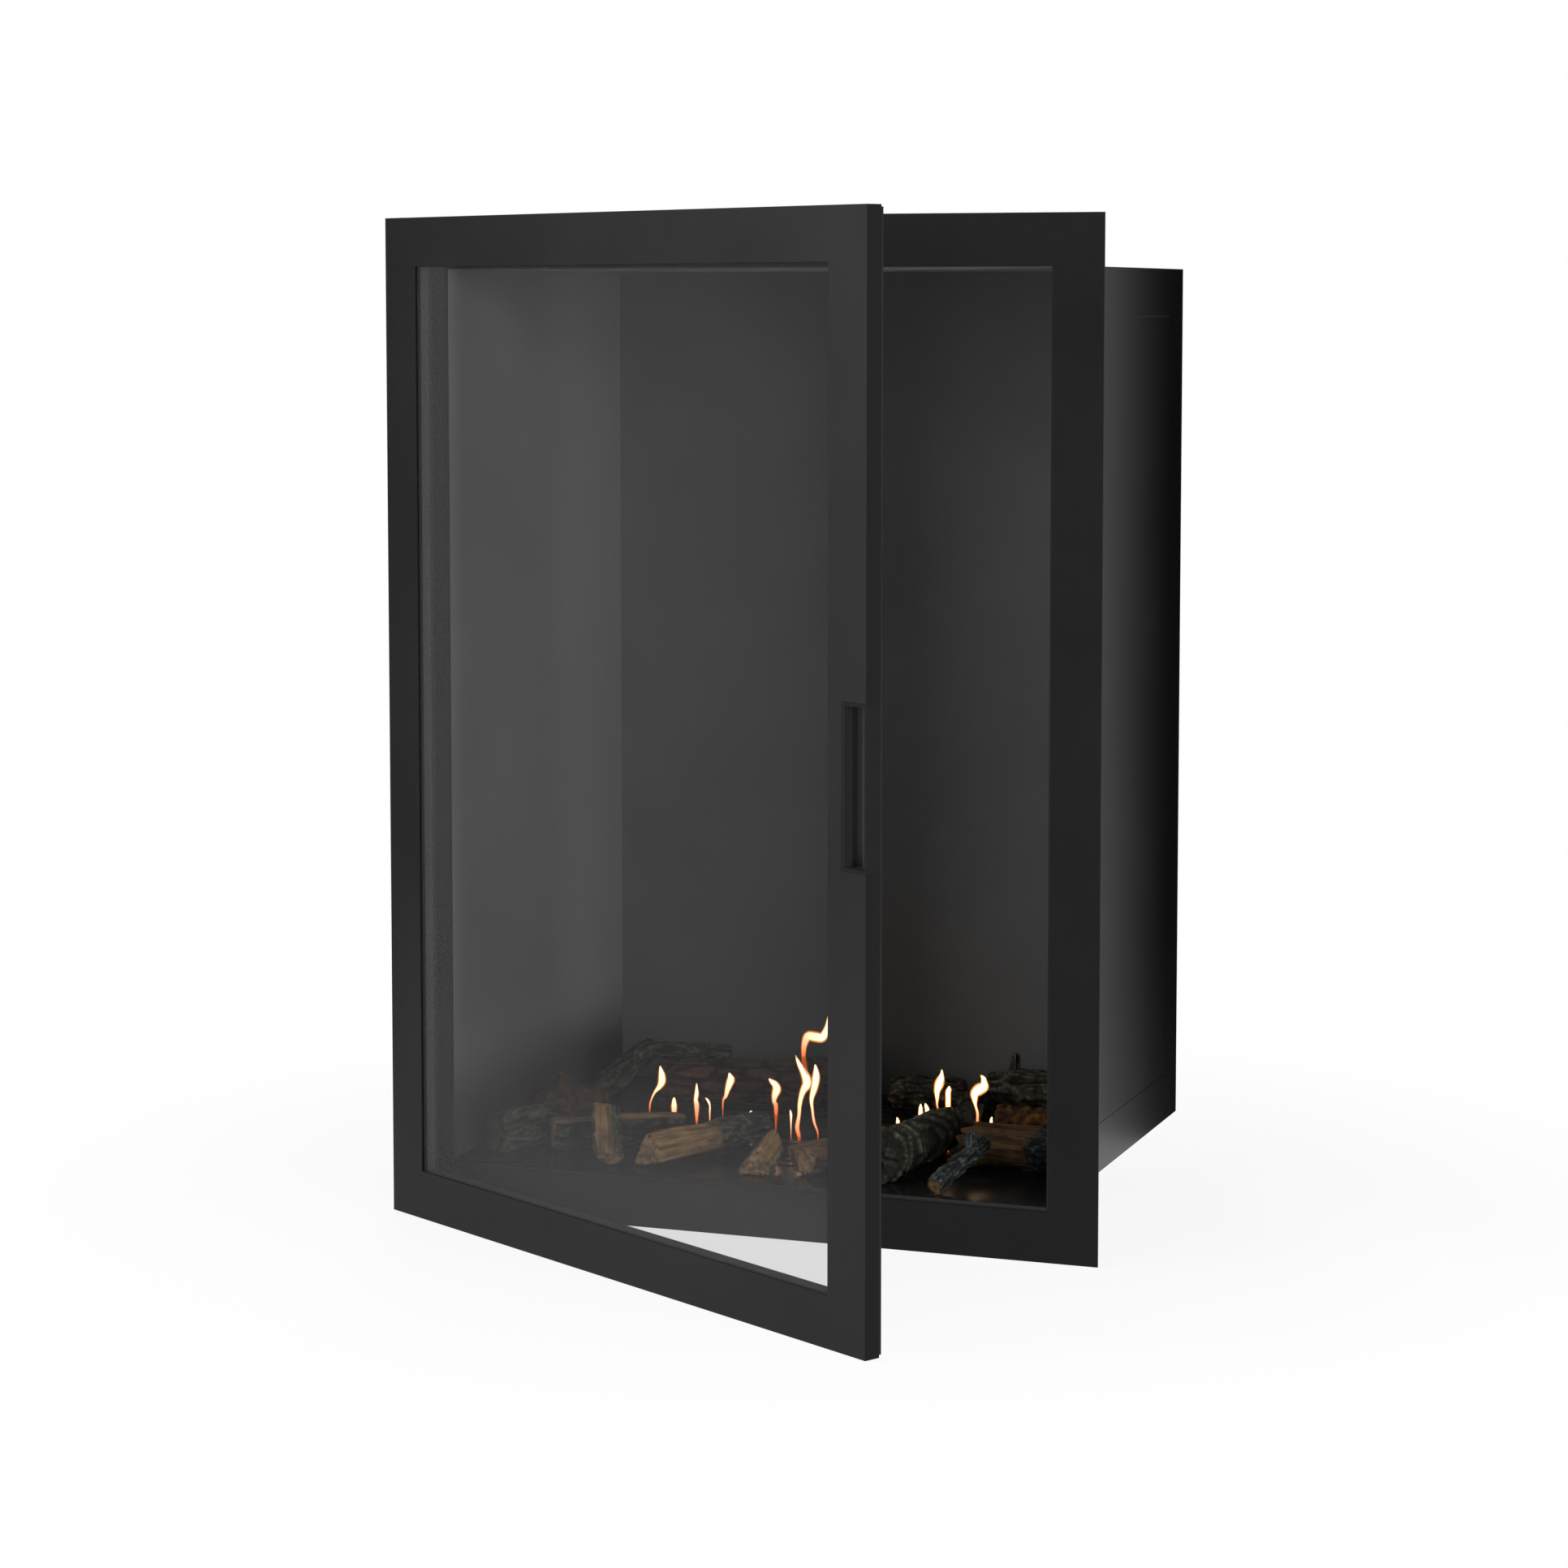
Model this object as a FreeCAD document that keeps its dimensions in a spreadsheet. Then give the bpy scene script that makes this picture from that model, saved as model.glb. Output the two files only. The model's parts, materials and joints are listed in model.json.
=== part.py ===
import FreeCAD, Part
import math
import os
import Sketcher

Vector = FreeCAD.Vector
doc = FreeCAD.newDocument("bioethanol_fireplace")

# Driving sizes in millimetres, angles in degrees
DRIVING = {
    # casing of folded sheet, its edges folded over by edge_fold
    "casing_width": 640,
    "casing_height": 920,
    "casing_depth": 500,
    "casing_sheet": 1.5,
    "edge_fold": 50,
    "seam_gap": 0.6,
    # firebox lining
    "liner_sheet": 1,
    "back_space": 46,
    "channel_width": 40,
    "channel_foot": 18,
    "channel_offset": 170,
    "channel_end": 40,
    "back_screw_end": 60,
    # front frame and the angles behind it
    "frame_border": 50,
    "frame_sheet": 2,
    "angle_leg": 20,
    "angle_sheet": 2,
    "angle_end": 20,
    # hearth deck with its rows of slots
    "deck_sheet": 3,
    "deck_clear": 0.4,
    "slot_length": 462,
    "slot_width": 9,
    "slot_pitch": 21,
    "slot_count": 4,
    "front_land": 33,
    "rear_land": 32,
    # base well under the casing
    "well_width": 480,
    "well_depth": 320,
    "well_sheet": 1.5,
    "well_lip": 10,
    "vent_length": 46,
    "vent_height": 9,
    "vent_pitch": 60,
    "vent_count": 5,
    "fixing_radius": 4.5,
    "fixing_x": 430,
    "fixing_y": 260,
    # burner
    "burner_offset": 18,
    "burner_length": 440,
    "burner_width": 110,
    "burner_height": 42,
    "burner_sheet": 1.5,
    "burner_lip": 10,
    "burner_clear": 1,
    "cover_drop": 12,
    "cover_clear": 0.3,
    "flame_length": 396,
    "flame_width": 36,
    "flame_inset": 7.5,
    "wick_thick": 24,
    "wick_clear": 1.2,
    # snuffer slide on the burner cover
    "slide_overlap": 4,
    "slide_sheet": 1.5,
    "slide_clear": 0.3,
    "slide_gap": 10,
    "guide_width": 8,
    "guide_lap": 3,
    "guide_sheet": 1.5,
    "knob_radius": 5,
    "knob_height": 6,
    "knob_x": 60,
    # door
    "door_lift": 1,
    "door_sheet": 1.5,
    "door_tray": 16.5,
    "door_back": 4,
    "back_inset": 2,
    "door_stile": 51.5,
    "door_rail": 49,
    "door_gap": 7,
    "door_open": 30,
    "glass_thick": 4,
    "glass_inset": 2,
    "gasket_thick": 1.2,
    "gasket_set": 3,
    "retainer_clear": 0.5,
    "retainer_sheet": 1.5,
    "seal_set": 4,
    "seal_width": 8,
    "seal_gap": 0.5,
    "magnet_length": 50,
    "magnet_width": 11,
    "magnet_edge": 9.5,
    "magnet_spread": 600,
    # finger grip in the free stile
    "grip_height": 150,
    "grip_width": 33,
    "grip_fit": 0.2,
    "grip_lip": 2.7,
    "grip_wall": 3.4,
    "grip_floor": 1.5,
    "grip_mouth": 24.3,
    # concealed pivots
    "pivot_inset": 7.5,
    "pivot_setback": 12.5,
    "pin_radius": 3.5,
    "pin_run": 0.05,
    "pin_head": 5.5,
    "pin_head_high": 2,
    "pin_end": 1.5,
    "bush_wall": 2,
    "block_long": 18,
    "block_high": 18,
    "tab_thick": 5,
    "tab_half": 6.5,
    "tab_from_end": 9,
    "tab_room": 1.5,
    "tab_space": 2,
    "foot_thick": 3,
    "foot_high": 50,
    "washer_radius": 6,
    "washer_thick": 1.6,
    # screws
    "screw_radius": 2,
    "screw_hole": 2.2,
    "screw_head": 4,
    "screw_head_high": 2.2,
    # ceramic logs
    "log_seat": 0.2,
    "log_girth": 1,
    "log_drop": 160,
    "log_field_wide": 635,
    "log_field_deep": 454,
}


class Size:
    """A length that keeps its sheet formula beside its present value."""

    def __init__(self, text, value):
        self.text = text
        self.value = float(value)

    def join(self, sign, other):
        other = as_size(other)
        if sign == "+":
            value = self.value + other.value
        elif sign == "-":
            value = self.value - other.value
        elif sign == "*":
            value = self.value * other.value
        else:
            value = self.value / other.value
        return Size(f"({self.text} {sign} {other.text})", value)

    def __add__(self, other):
        return self.join("+", other)

    def __radd__(self, other):
        return as_size(other).join("+", self)

    def __sub__(self, other):
        return self.join("-", other)

    def __rsub__(self, other):
        return as_size(other).join("-", self)

    def __mul__(self, other):
        return self.join("*", other)

    def __rmul__(self, other):
        return as_size(other).join("*", self)

    def __truediv__(self, other):
        return self.join("/", other)

    def __neg__(self):
        return as_size(0).join("-", self)


def as_size(amount):
    if isinstance(amount, Size):
        return amount
    return Size(f"({amount})", amount)


class Sizes:
    """The driving sizes by name, each bound to its sheet cell."""


sheet = doc.addObject("Spreadsheet::Sheet", "sizes")
s = Sizes()
for row, (alias, amount) in enumerate(DRIVING.items(), start=1):
    sheet.set(f"A{row}", str(amount))
    sheet.setAlias(f"A{row}", alias)
    setattr(s, alias, Size(f"sizes.{alias}", amount))
doc.recompute()

# Planes shared by the pieces; the origin is the middle of the base well's underside
wall = -s.casing_depth / 2
frame_face = wall - s.frame_sheet
back_face = s.casing_depth / 2
half_casing = s.casing_width / 2
half_inner = half_casing - s.casing_sheet
half_firebox = half_inner - s.liner_sheet
casing_bottom = s.frame_border
casing_top = s.frame_border + s.casing_height
floor_top = casing_bottom + s.casing_sheet
lid_under = casing_top - s.casing_sheet
ceiling = lid_under - s.liner_sheet
firebox_depth = s.casing_depth - s.back_space
liner_front = wall + firebox_depth
liner_rear = liner_front + s.liner_sheet
panel_front = back_face - s.casing_sheet
fold_front = back_face - s.edge_fold
deck_top = floor_top + s.deck_sheet
burner_y = wall + firebox_depth / 2 + s.burner_offset
lip_reach = s.burner_width / 2 + s.burner_lip

parts = []


def bind(thing, path, amount):
    thing.setExpression(path, as_size(amount).text)


def place(thing, at):
    for axis, amount in zip("xyz", at):
        bind(thing, f"Placement.Base.{axis}", amount)


def keep(thing, label):
    thing.Label = label
    parts.append(thing)
    return thing


def box(name, low, high):
    """A block between two corners."""
    block = doc.addObject("Part::Box", name)
    for path, start, end in zip(("Length", "Width", "Height"), low, high):
        bind(block, path, end - start)
    place(block, low)
    return block


def rod(name, centre, radius, height):
    """An upright cylinder standing on its centre point."""
    cylinder = doc.addObject("Part::Cylinder", name)
    bind(cylinder, "Radius", radius)
    bind(cylinder, "Height", height)
    place(cylinder, centre)
    return cylinder


def fuse(name, pieces):
    joined = doc.addObject("Part::MultiFuse", name)
    joined.Shapes = pieces
    joined.Refine = True
    return joined


def cut(name, base, tool):
    rest = doc.addObject("Part::Cut", name)
    rest.Base = base
    rest.Tool = tool
    rest.Refine = True
    return rest


def group(name, pieces):
    together = doc.addObject("Part::Compound", name)
    together.Links = pieces
    return together


def body(name):
    return doc.addObject("PartDesign::Body", name)


def rectangle(low_u, low_v, high_u, high_v):
    return [(low_u, low_v), (high_u, low_v), (high_u, high_v), (low_u, high_v)]


def sketch_on(owner, role, name, loops, circles=(), lift=0):
    """A sketch on an origin plane, every corner and centre dimensioned from the sheet."""
    drawing = owner.newObject("Sketcher::SketchObject", name)
    plane = [feature for feature in owner.Origin.OriginFeatures if feature.Role == role][0]
    drawing.AttachmentSupport = [(plane, "")]
    drawing.MapMode = "FlatFace"
    bind(drawing, "AttachmentOffset.Base.z", lift)

    def dimension(kind, first, point, amount):
        amount = as_size(amount)
        index = drawing.addConstraint(Sketcher.Constraint(kind, -1, 1, first, point, amount.value))
        drawing.setExpression(f"Constraints[{index}]", amount.text)

    for corners in loops:
        start = drawing.GeometryCount
        count = len(corners)
        spots = [Vector(as_size(u).value, as_size(v).value, 0) for u, v in corners]
        for i in range(count):
            drawing.addGeometry(Part.LineSegment(spots[i], spots[(i + 1) % count]), False)
        for i in range(count):
            follower = start + (i + 1) % count
            drawing.addConstraint(Sketcher.Constraint("Coincident", start + i, 2, follower, 1))
        for i, (u, v) in enumerate(corners):
            dimension("DistanceX", start + i, 1, u)
            dimension("DistanceY", start + i, 1, v)
    for u, v, radius in circles:
        index = drawing.GeometryCount
        centre = Vector(as_size(u).value, as_size(v).value, 0)
        drawing.addGeometry(Part.Circle(centre, Vector(0, 0, 1), as_size(radius).value), False)
        dimension("DistanceX", index, 3, u)
        dimension("DistanceY", index, 3, v)
        limit = drawing.addConstraint(Sketcher.Constraint("Radius", index, as_size(radius).value))
        drawing.setExpression(f"Constraints[{limit}]", as_size(radius).text)
    return drawing


def pad(owner, drawing, length, reverse=False):
    feature = owner.newObject("PartDesign::Pad", drawing.Name + "_pad")
    feature.Profile = drawing
    feature.Reversed = reverse
    bind(feature, "Length", length)
    return feature


def pocket(owner, drawing, length, reverse=False):
    """Cuts against the sketch's own direction, or along it when reversed."""
    feature = owner.newObject("PartDesign::Pocket", drawing.Name + "_pocket")
    feature.Profile = drawing
    feature.Reversed = reverse
    bind(feature, "Length", length)
    return feature


def pattern(owner, feature, drawing, axis, pitch, count):
    """Repeats a feature along an axis of its own sketch."""
    row = owner.newObject("PartDesign::LinearPattern", feature.Name + "_row")
    row.Originals = [feature]
    row.Direction = (drawing, [axis])
    row.Mode = "Spacing"
    bind(row, "Offset", pitch)
    bind(row, "Occurrences", count)
    owner.Tip = row
    return row


# Casing
def folded_panel(label, plate_low, plate_high, fold_low, fold_high):
    """Lid or base: a plate with a fold along each side and a tongue inside the back panel's folds."""
    fold_end = fold_front - s.seam_gap
    plate = box(label + "_plate", (-half_casing, wall, plate_low), (half_casing, fold_end, plate_high))
    tongue = box(label + "_tongue", (-half_inner, wall, plate_low), (half_inner, panel_front, plate_high))
    left = box(label + "_left", (-half_casing, wall, fold_low), (-half_inner, fold_end, fold_high))
    right = box(label + "_right", (half_inner, wall, fold_low), (half_casing, fold_end, fold_high))
    return fuse(label + "_folded", [plate, tongue, left, right])


half_well = s.well_width / 2 - s.well_sheet
half_well_y = s.well_depth / 2 - s.well_sheet
base_sheet = folded_panel("casing_base", casing_bottom, floor_top, casing_bottom, casing_bottom + s.edge_fold)
base_mouth = box("casing_base_mouth", (-half_well, -half_well_y, casing_bottom - 1),
                 (half_well, half_well_y, floor_top + 1))
keep(cut("casing_base_cut", base_sheet, base_mouth), "casing_base")
keep(folded_panel("casing_lid", lid_under, casing_top, casing_top - s.edge_fold, casing_top), "casing_lid")

side_low = casing_bottom + s.edge_fold + s.seam_gap
side_high = casing_top - s.edge_fold - s.seam_gap
side_end = fold_front - s.seam_gap
keep(box("side_left", (-half_casing, wall, side_low), (-half_inner, side_end, side_high)), "casing_side_left")
keep(box("side_right", (half_inner, wall, side_low), (half_casing, side_end, side_high)), "casing_side_right")

# Back panel, folded forward at both sides, with its screw holes
back_screw_x = s.channel_offset + s.channel_width / 2 + s.channel_foot / 2
back_screw_low = casing_bottom + s.channel_end + s.back_screw_end
back_screw_rise = (s.casing_height - 2 * s.channel_end - 2 * s.back_screw_end) / 3
back_spots = []
for side in (-1, 1):
    for step in range(4):
        back_spots.append((side * back_screw_x, back_screw_low + back_screw_rise * step))

back_panel = body("back_panel")
back_outline = sketch_on(back_panel, "XY_Plane", "back_outline", [[
    (-half_casing, fold_front), (-half_inner, fold_front), (-half_inner, panel_front),
    (half_inner, panel_front), (half_inner, fold_front), (half_casing, fold_front),
    (half_casing, back_face), (-half_casing, back_face)]], lift=casing_bottom)
pad(back_panel, back_outline, s.casing_height)
back_holes = sketch_on(back_panel, "XZ_Plane", "back_holes", [],
                       [(u, v, s.screw_hole) for u, v in back_spots], lift=-back_face)
pocket(back_panel, back_holes, s.casing_sheet, reverse=True)
keep(back_panel, "casing_back")

# Firebox lining
keep(box("lining_left", (-half_inner, wall, floor_top), (-half_firebox, liner_rear, lid_under)), "liner_left")
keep(box("lining_right", (half_firebox, wall, floor_top), (half_inner, liner_rear, lid_under)), "liner_right")
keep(box("lining_back", (-half_firebox, liner_front, floor_top), (half_firebox, liner_rear, ceiling)),
     "liner_back")
keep(box("lining_top", (-half_firebox, wall, ceiling), (half_firebox, liner_rear, lid_under)), "liner_top")

# Channels between the back lining and the back panel
channel_low = casing_bottom + s.channel_end
channel_long = s.casing_height - 2 * s.channel_end
for side, label in ((-1, "back_channel_left"), (1, "back_channel_right")):
    channel = body(label + "_body")
    near = side * s.channel_offset - s.channel_width / 2
    far = side * s.channel_offset + s.channel_width / 2
    foot_front = panel_front - s.casing_sheet
    hat = sketch_on(channel, "XY_Plane", label + "_hat", [[
        (near, liner_rear), (far, liner_rear), (far, foot_front), (far + s.channel_foot, foot_front),
        (far + s.channel_foot, panel_front), (far - s.casing_sheet, panel_front),
        (far - s.casing_sheet, liner_rear + s.casing_sheet),
        (near + s.casing_sheet, liner_rear + s.casing_sheet), (near + s.casing_sheet, panel_front),
        (near - s.channel_foot, panel_front), (near - s.channel_foot, foot_front), (near, foot_front)]],
        lift=channel_low)
    pad(channel, hat, channel_long)
    holes = sketch_on(channel, "XZ_Plane", label + "_holes", [],
                      [(u, v, s.screw_hole) for u, v in back_spots if u.value * side > 0], lift=-panel_front)
    pocket(channel, holes, s.casing_sheet, reverse=True)
    keep(channel, label)


def level_screw(name, u, v, seat, length, outward):
    """A pan-head screw lying along Y, its head on the seat plane."""
    shank = rod(name + "_shank", (u, seat, v), s.screw_radius, length)
    head = rod(name + "_head", (u, seat, v), s.screw_head, s.screw_head_high)
    for piece, way in ((shank, -outward), (head, outward)):
        piece.Placement.Rotation = FreeCAD.Rotation(Vector(0, 0, 1), Vector(0, way, 0))
    return fuse(name, [shank, head])


back_screws = []
for number, (u, v) in enumerate(back_spots):
    back_screws.append(level_screw(f"back_screw_{number}", u, v, back_face, 2 * s.casing_sheet + 4, 1))
keep(group("back_screw_group", back_screws), "back_screws")

# Front frame
frame = body("front_flange")
half_frame = half_casing + s.frame_border
frame_high = s.casing_height + 2 * s.frame_border
frame_outline = sketch_on(frame, "XZ_Plane", "frame_outline", [
    rectangle(-half_frame, 0, half_frame, frame_high),
    rectangle(-half_casing, casing_bottom, half_casing, casing_top)], lift=-wall)
pad(frame, frame_outline, s.frame_sheet)
keep(frame, "front_frame")

# Angles behind the frame, one along each edge of the casing
angle_out = half_casing + s.angle_leg
angle_top = casing_top - s.angle_end
angle_bottom = casing_bottom + s.angle_end
uprights = []
for name, near, thick, far in (("left", -half_casing, -half_casing - s.angle_sheet, -angle_out),
                               ("right", half_casing, half_casing + s.angle_sheet, angle_out)):
    angle = body("angle_" + name)
    profile = sketch_on(angle, "XY_Plane", "angle_profile_" + name, [[
        (near, wall), (far, wall), (far, wall + s.angle_sheet), (thick, wall + s.angle_sheet),
        (thick, wall + s.angle_leg), (near, wall + s.angle_leg)]], lift=angle_bottom)
    pad(angle, profile, angle_top - angle_bottom)
    uprights.append(angle)
keep(group("angles_upright", uprights), "frame_angles_upright")
levels = []
for name, near, thick, far in (
        ("top", casing_top, casing_top + s.angle_sheet, casing_top + s.angle_leg),
        ("bottom", casing_bottom, casing_bottom - s.angle_sheet, casing_bottom - s.angle_leg)):
    angle = body("angle_" + name)
    profile = sketch_on(angle, "YZ_Plane", "angle_profile_" + name, [[
        (wall, near), (wall, far), (wall + s.angle_sheet, far), (wall + s.angle_sheet, thick),
        (wall + s.angle_leg, thick), (wall + s.angle_leg, near)]], lift=s.angle_end - half_casing)
    pad(angle, profile, s.casing_width - 2 * s.angle_end)
    levels.append(angle)
keep(group("angles_level", levels), "frame_angles_level")

# Base well: open box with an outward lip under the casing, air slots and fixing holes
well = body("well")
well_x = s.well_width / 2
well_y = s.well_depth / 2
well_block = sketch_on(well, "XY_Plane", "well_block", [rectangle(-well_x, -well_y, well_x, well_y)])
pad(well, well_block, casing_bottom)
well_rim = sketch_on(well, "XY_Plane", "well_rim", [
    rectangle(-well_x - s.well_lip, -well_y - s.well_lip, well_x + s.well_lip, well_y + s.well_lip)],
    lift=casing_bottom - s.well_sheet)
pad(well, well_rim, s.well_sheet)
well_hollow = sketch_on(well, "XY_Plane", "well_hollow", [
    rectangle(-half_well, -half_well_y, half_well, half_well_y)], lift=casing_bottom)
pocket(well, well_hollow, casing_bottom - s.well_sheet)
fixing_spots = [(u * s.fixing_x / 2, v * s.fixing_y / 2, s.fixing_radius) for u in (-1, 1) for v in (-1, 1)]
well_fixing = sketch_on(well, "XY_Plane", "well_fixing", [], fixing_spots, lift=s.well_sheet)
pocket(well, well_fixing, s.well_sheet)
vent_start = -(s.vent_pitch * (s.vent_count - 1) + s.vent_length) / 2
vent_low = casing_bottom / 2 - s.vent_height / 2
well_vent = sketch_on(well, "YZ_Plane", "well_vent", [
    rectangle(vent_start, vent_low, vent_start + s.vent_length, vent_low + s.vent_height)], lift=well_x + 1)
vent = pocket(well, well_vent, s.well_width + 2)
doc.recompute()
pattern(well, vent, well_vent, "H_Axis", s.vent_pitch, s.vent_count)
keep(well, "base_well")

# Hearth deck with the burner opening and the slot rows
deck = body("deck")
deck_x = half_firebox - s.deck_clear
deck_outline = sketch_on(deck, "XY_Plane", "deck_outline", [
    rectangle(-deck_x, wall + s.deck_clear, deck_x, liner_front - s.deck_clear)], lift=floor_top)
pad(deck, deck_outline, s.deck_sheet)
mouth_x = s.burner_length / 2 + s.burner_clear
mouth_y = s.burner_width / 2 + s.burner_clear
deck_mouth = sketch_on(deck, "XY_Plane", "deck_mouth", [
    rectangle(-mouth_x, burner_y - mouth_y, mouth_x, burner_y + mouth_y)], lift=deck_top)
pocket(deck, deck_mouth, s.deck_sheet)
row_depth = s.slot_pitch * (s.slot_count - 1)
slot_rows = (("front", burner_y - lip_reach - s.front_land - row_depth),
             ("rear", burner_y + lip_reach + s.rear_land))
for name, first in slot_rows:
    slot_low = first - s.slot_width / 2
    slot = sketch_on(deck, "XY_Plane", "slot_" + name, [
        rectangle(-s.slot_length / 2, slot_low, s.slot_length / 2, slot_low + s.slot_width)], lift=deck_top)
    opening = pocket(deck, slot, s.deck_sheet)
    doc.recompute()
    pattern(deck, opening, slot, "V_Axis", s.slot_pitch, s.slot_count)
keep(deck, "hearth_deck")

# Burner tank hanging from its lip on the deck
tank_x = s.burner_length / 2
tank_y = s.burner_width / 2
tank_low = deck_top - s.burner_height
lip_top = deck_top + s.burner_sheet
tank_in_x = tank_x - s.burner_sheet
tank_in_y = tank_y - s.burner_sheet
tank_outer = box("tank_outer", (-tank_x, burner_y - tank_y, tank_low), (tank_x, burner_y + tank_y, lip_top))
tank_lip = box("tank_lip", (-tank_x - s.burner_lip, burner_y - tank_y - s.burner_lip, deck_top),
               (tank_x + s.burner_lip, burner_y + tank_y + s.burner_lip, lip_top))
tank_hollow = box("tank_hollow", (-tank_in_x, burner_y - tank_in_y, tank_low + s.burner_sheet),
                  (tank_in_x, burner_y + tank_in_y, lip_top + 1))
keep(cut("tank_cut", fuse("tank_solid", [tank_outer, tank_lip]), tank_hollow), "burner_tank")

# Burner cover: a plate on two end legs, with the flame slot in its front half
tank_floor = tank_low + s.burner_sheet
cover_top = lip_top - s.cover_drop
cover_low = cover_top - s.burner_sheet
cover_x = tank_in_x - s.cover_clear
cover_y = tank_in_y - s.cover_clear
cover = body("cover")
cover_profile = sketch_on(cover, "XZ_Plane", "cover_profile", [[
    (-cover_x, tank_floor), (-cover_x + s.burner_sheet, tank_floor), (-cover_x + s.burner_sheet, cover_low),
    (cover_x - s.burner_sheet, cover_low), (cover_x - s.burner_sheet, tank_floor), (cover_x, tank_floor),
    (cover_x, cover_top), (-cover_x, cover_top)]], lift=-burner_y - cover_y)
pad(cover, cover_profile, 2 * cover_y)
flame_low = burner_y - tank_in_y + s.flame_inset
flame_high = flame_low + s.flame_width
flame_slot = sketch_on(cover, "XY_Plane", "flame_slot", [
    rectangle(-s.flame_length / 2, flame_low, s.flame_length / 2, flame_high)], lift=cover_top)
pocket(cover, flame_slot, s.burner_sheet)
keep(cover, "burner_cover")

wick_x = cover_x - s.burner_sheet - s.wick_clear
wick_y = tank_in_y - s.wick_clear
keep(box("wick", (-wick_x, burner_y - wick_y, tank_floor),
         (wick_x, burner_y + wick_y, tank_floor + s.wick_thick)), "burner_wick")

# Snuffer slide, drawn open behind the flame slot, with its knob and end guides
slide_x = s.flame_length / 2 + s.slide_overlap
slide_deep = s.flame_width + 2 * s.slide_overlap
slide_low = cover_top + s.slide_clear
slide_top = slide_low + s.slide_sheet
slide_front = flame_high + s.slide_gap
slide_rear = slide_front + slide_deep
keep(box("slide", (-slide_x, slide_front, slide_low), (slide_x, slide_rear, slide_top)), "snuffer_slide")
knob_y = (slide_front + slide_rear) / 2
stem = rod("knob_stem", (s.knob_x, knob_y, slide_top), s.knob_radius * 0.6, s.knob_height)
cap = rod("knob_cap", (s.knob_x, knob_y, slide_top + s.knob_height * 0.6), s.knob_radius, s.knob_height * 0.4)
keep(fuse("knob", [stem, cap]), "slide_knob")
guides = []
guide_in = slide_x + s.slide_clear
guide_out = guide_in + s.guide_width
lap_low = slide_top + s.slide_clear
lap_top = lap_low + s.guide_sheet
guide_front = burner_y - cover_y + 1
guide_rear = burner_y + cover_y - 1
for name, near, lap, far in (("left", -guide_in, -guide_in + s.guide_lap, -guide_out),
                             ("right", guide_in, guide_in - s.guide_lap, guide_out)):
    guide = body("guide_" + name)
    profile = sketch_on(guide, "XZ_Plane", "guide_profile_" + name, [[
        (near, cover_top), (far, cover_top), (far, lap_top), (lap, lap_top), (lap, lap_low),
        (near, lap_low)]], lift=-guide_rear)
    pad(guide, profile, guide_rear - guide_front)
    guides.append(guide)
keep(group("guides", guides), "slide_guides")

# Door, drawn about its hinge axis and swung open
axis_x = s.pivot_inset - half_frame
axis_y = frame_face - s.door_gap - s.door_tray - s.door_back + s.pivot_setback


def hang(thing):
    """Moves a door piece to the hinge axis and opens it with the door."""
    thing.Placement = FreeCAD.Placement(Vector(0, 0, 0), FreeCAD.Rotation(Vector(0, 0, -1), 30))
    bind(thing, "Placement.Rotation.Angle", s.door_open)
    place(thing, (axis_x, axis_y, 0))
    return thing


door_left = -s.pivot_inset
door_right = 2 * half_frame - s.pivot_inset
door_front = -s.pivot_setback
tray_rear = door_front + s.door_tray
door_rear = tray_rear + s.door_back
door_low = s.door_lift
door_high = frame_high - s.door_lift
pane_left = door_left + s.door_stile
pane_right = door_right - s.door_stile
pane_low = door_low + s.door_rail
pane_high = door_high - s.door_rail
sheet_rear = door_front + s.door_sheet
door_middle = (door_low + door_high) / 2
grip_low = door_middle - s.grip_height / 2
grip_high = door_middle + s.grip_height / 2
grip_left = door_right - s.grip_width
upper_tab_top = door_high - s.tab_from_end
upper_tab_low = upper_tab_top - s.tab_thick
lower_tab_low = door_low + s.tab_from_end
lower_tab_top = lower_tab_low + s.tab_thick
notches = ((lower_tab_low - s.tab_room, lower_tab_top + s.tab_room),
           (upper_tab_low - s.tab_room, upper_tab_top + s.tab_room))


def ring(owner, name, outer, inner, start, thick):
    """A rectangular ring standing in the door plane, from its front plane backwards."""
    drawing = sketch_on(owner, "XZ_Plane", name, [outer, inner], lift=-start)
    return pad(owner, drawing, thick, reverse=True)


def slotted(owner, name, start, end, right, heights):
    """Notches in the hinge-side edge where the bracket tabs pass."""
    loops = [rectangle(door_left - 1, low, right, high) for low, high in heights]
    drawing = sketch_on(owner, "XZ_Plane", name, loops, lift=-start)
    return pocket(owner, drawing, end - start)


retainer_width = s.door_stile - s.grip_width - s.retainer_clear
glass_lap = retainer_width - s.glass_inset
block_left = door_left + s.door_sheet
block_right = block_left + s.block_long
upper_block_top = upper_tab_low - s.tab_space
upper_block_low = upper_block_top - s.block_high
lower_block_low = lower_tab_top + s.tab_space
lower_block_top = lower_block_low + s.block_high
corners = ((lower_tab_low - s.pin_head_high - s.tab_room, lower_block_top + s.grip_fit),
           (upper_block_low - s.grip_fit, upper_tab_top + s.pin_head_high + s.tab_room))

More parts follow.
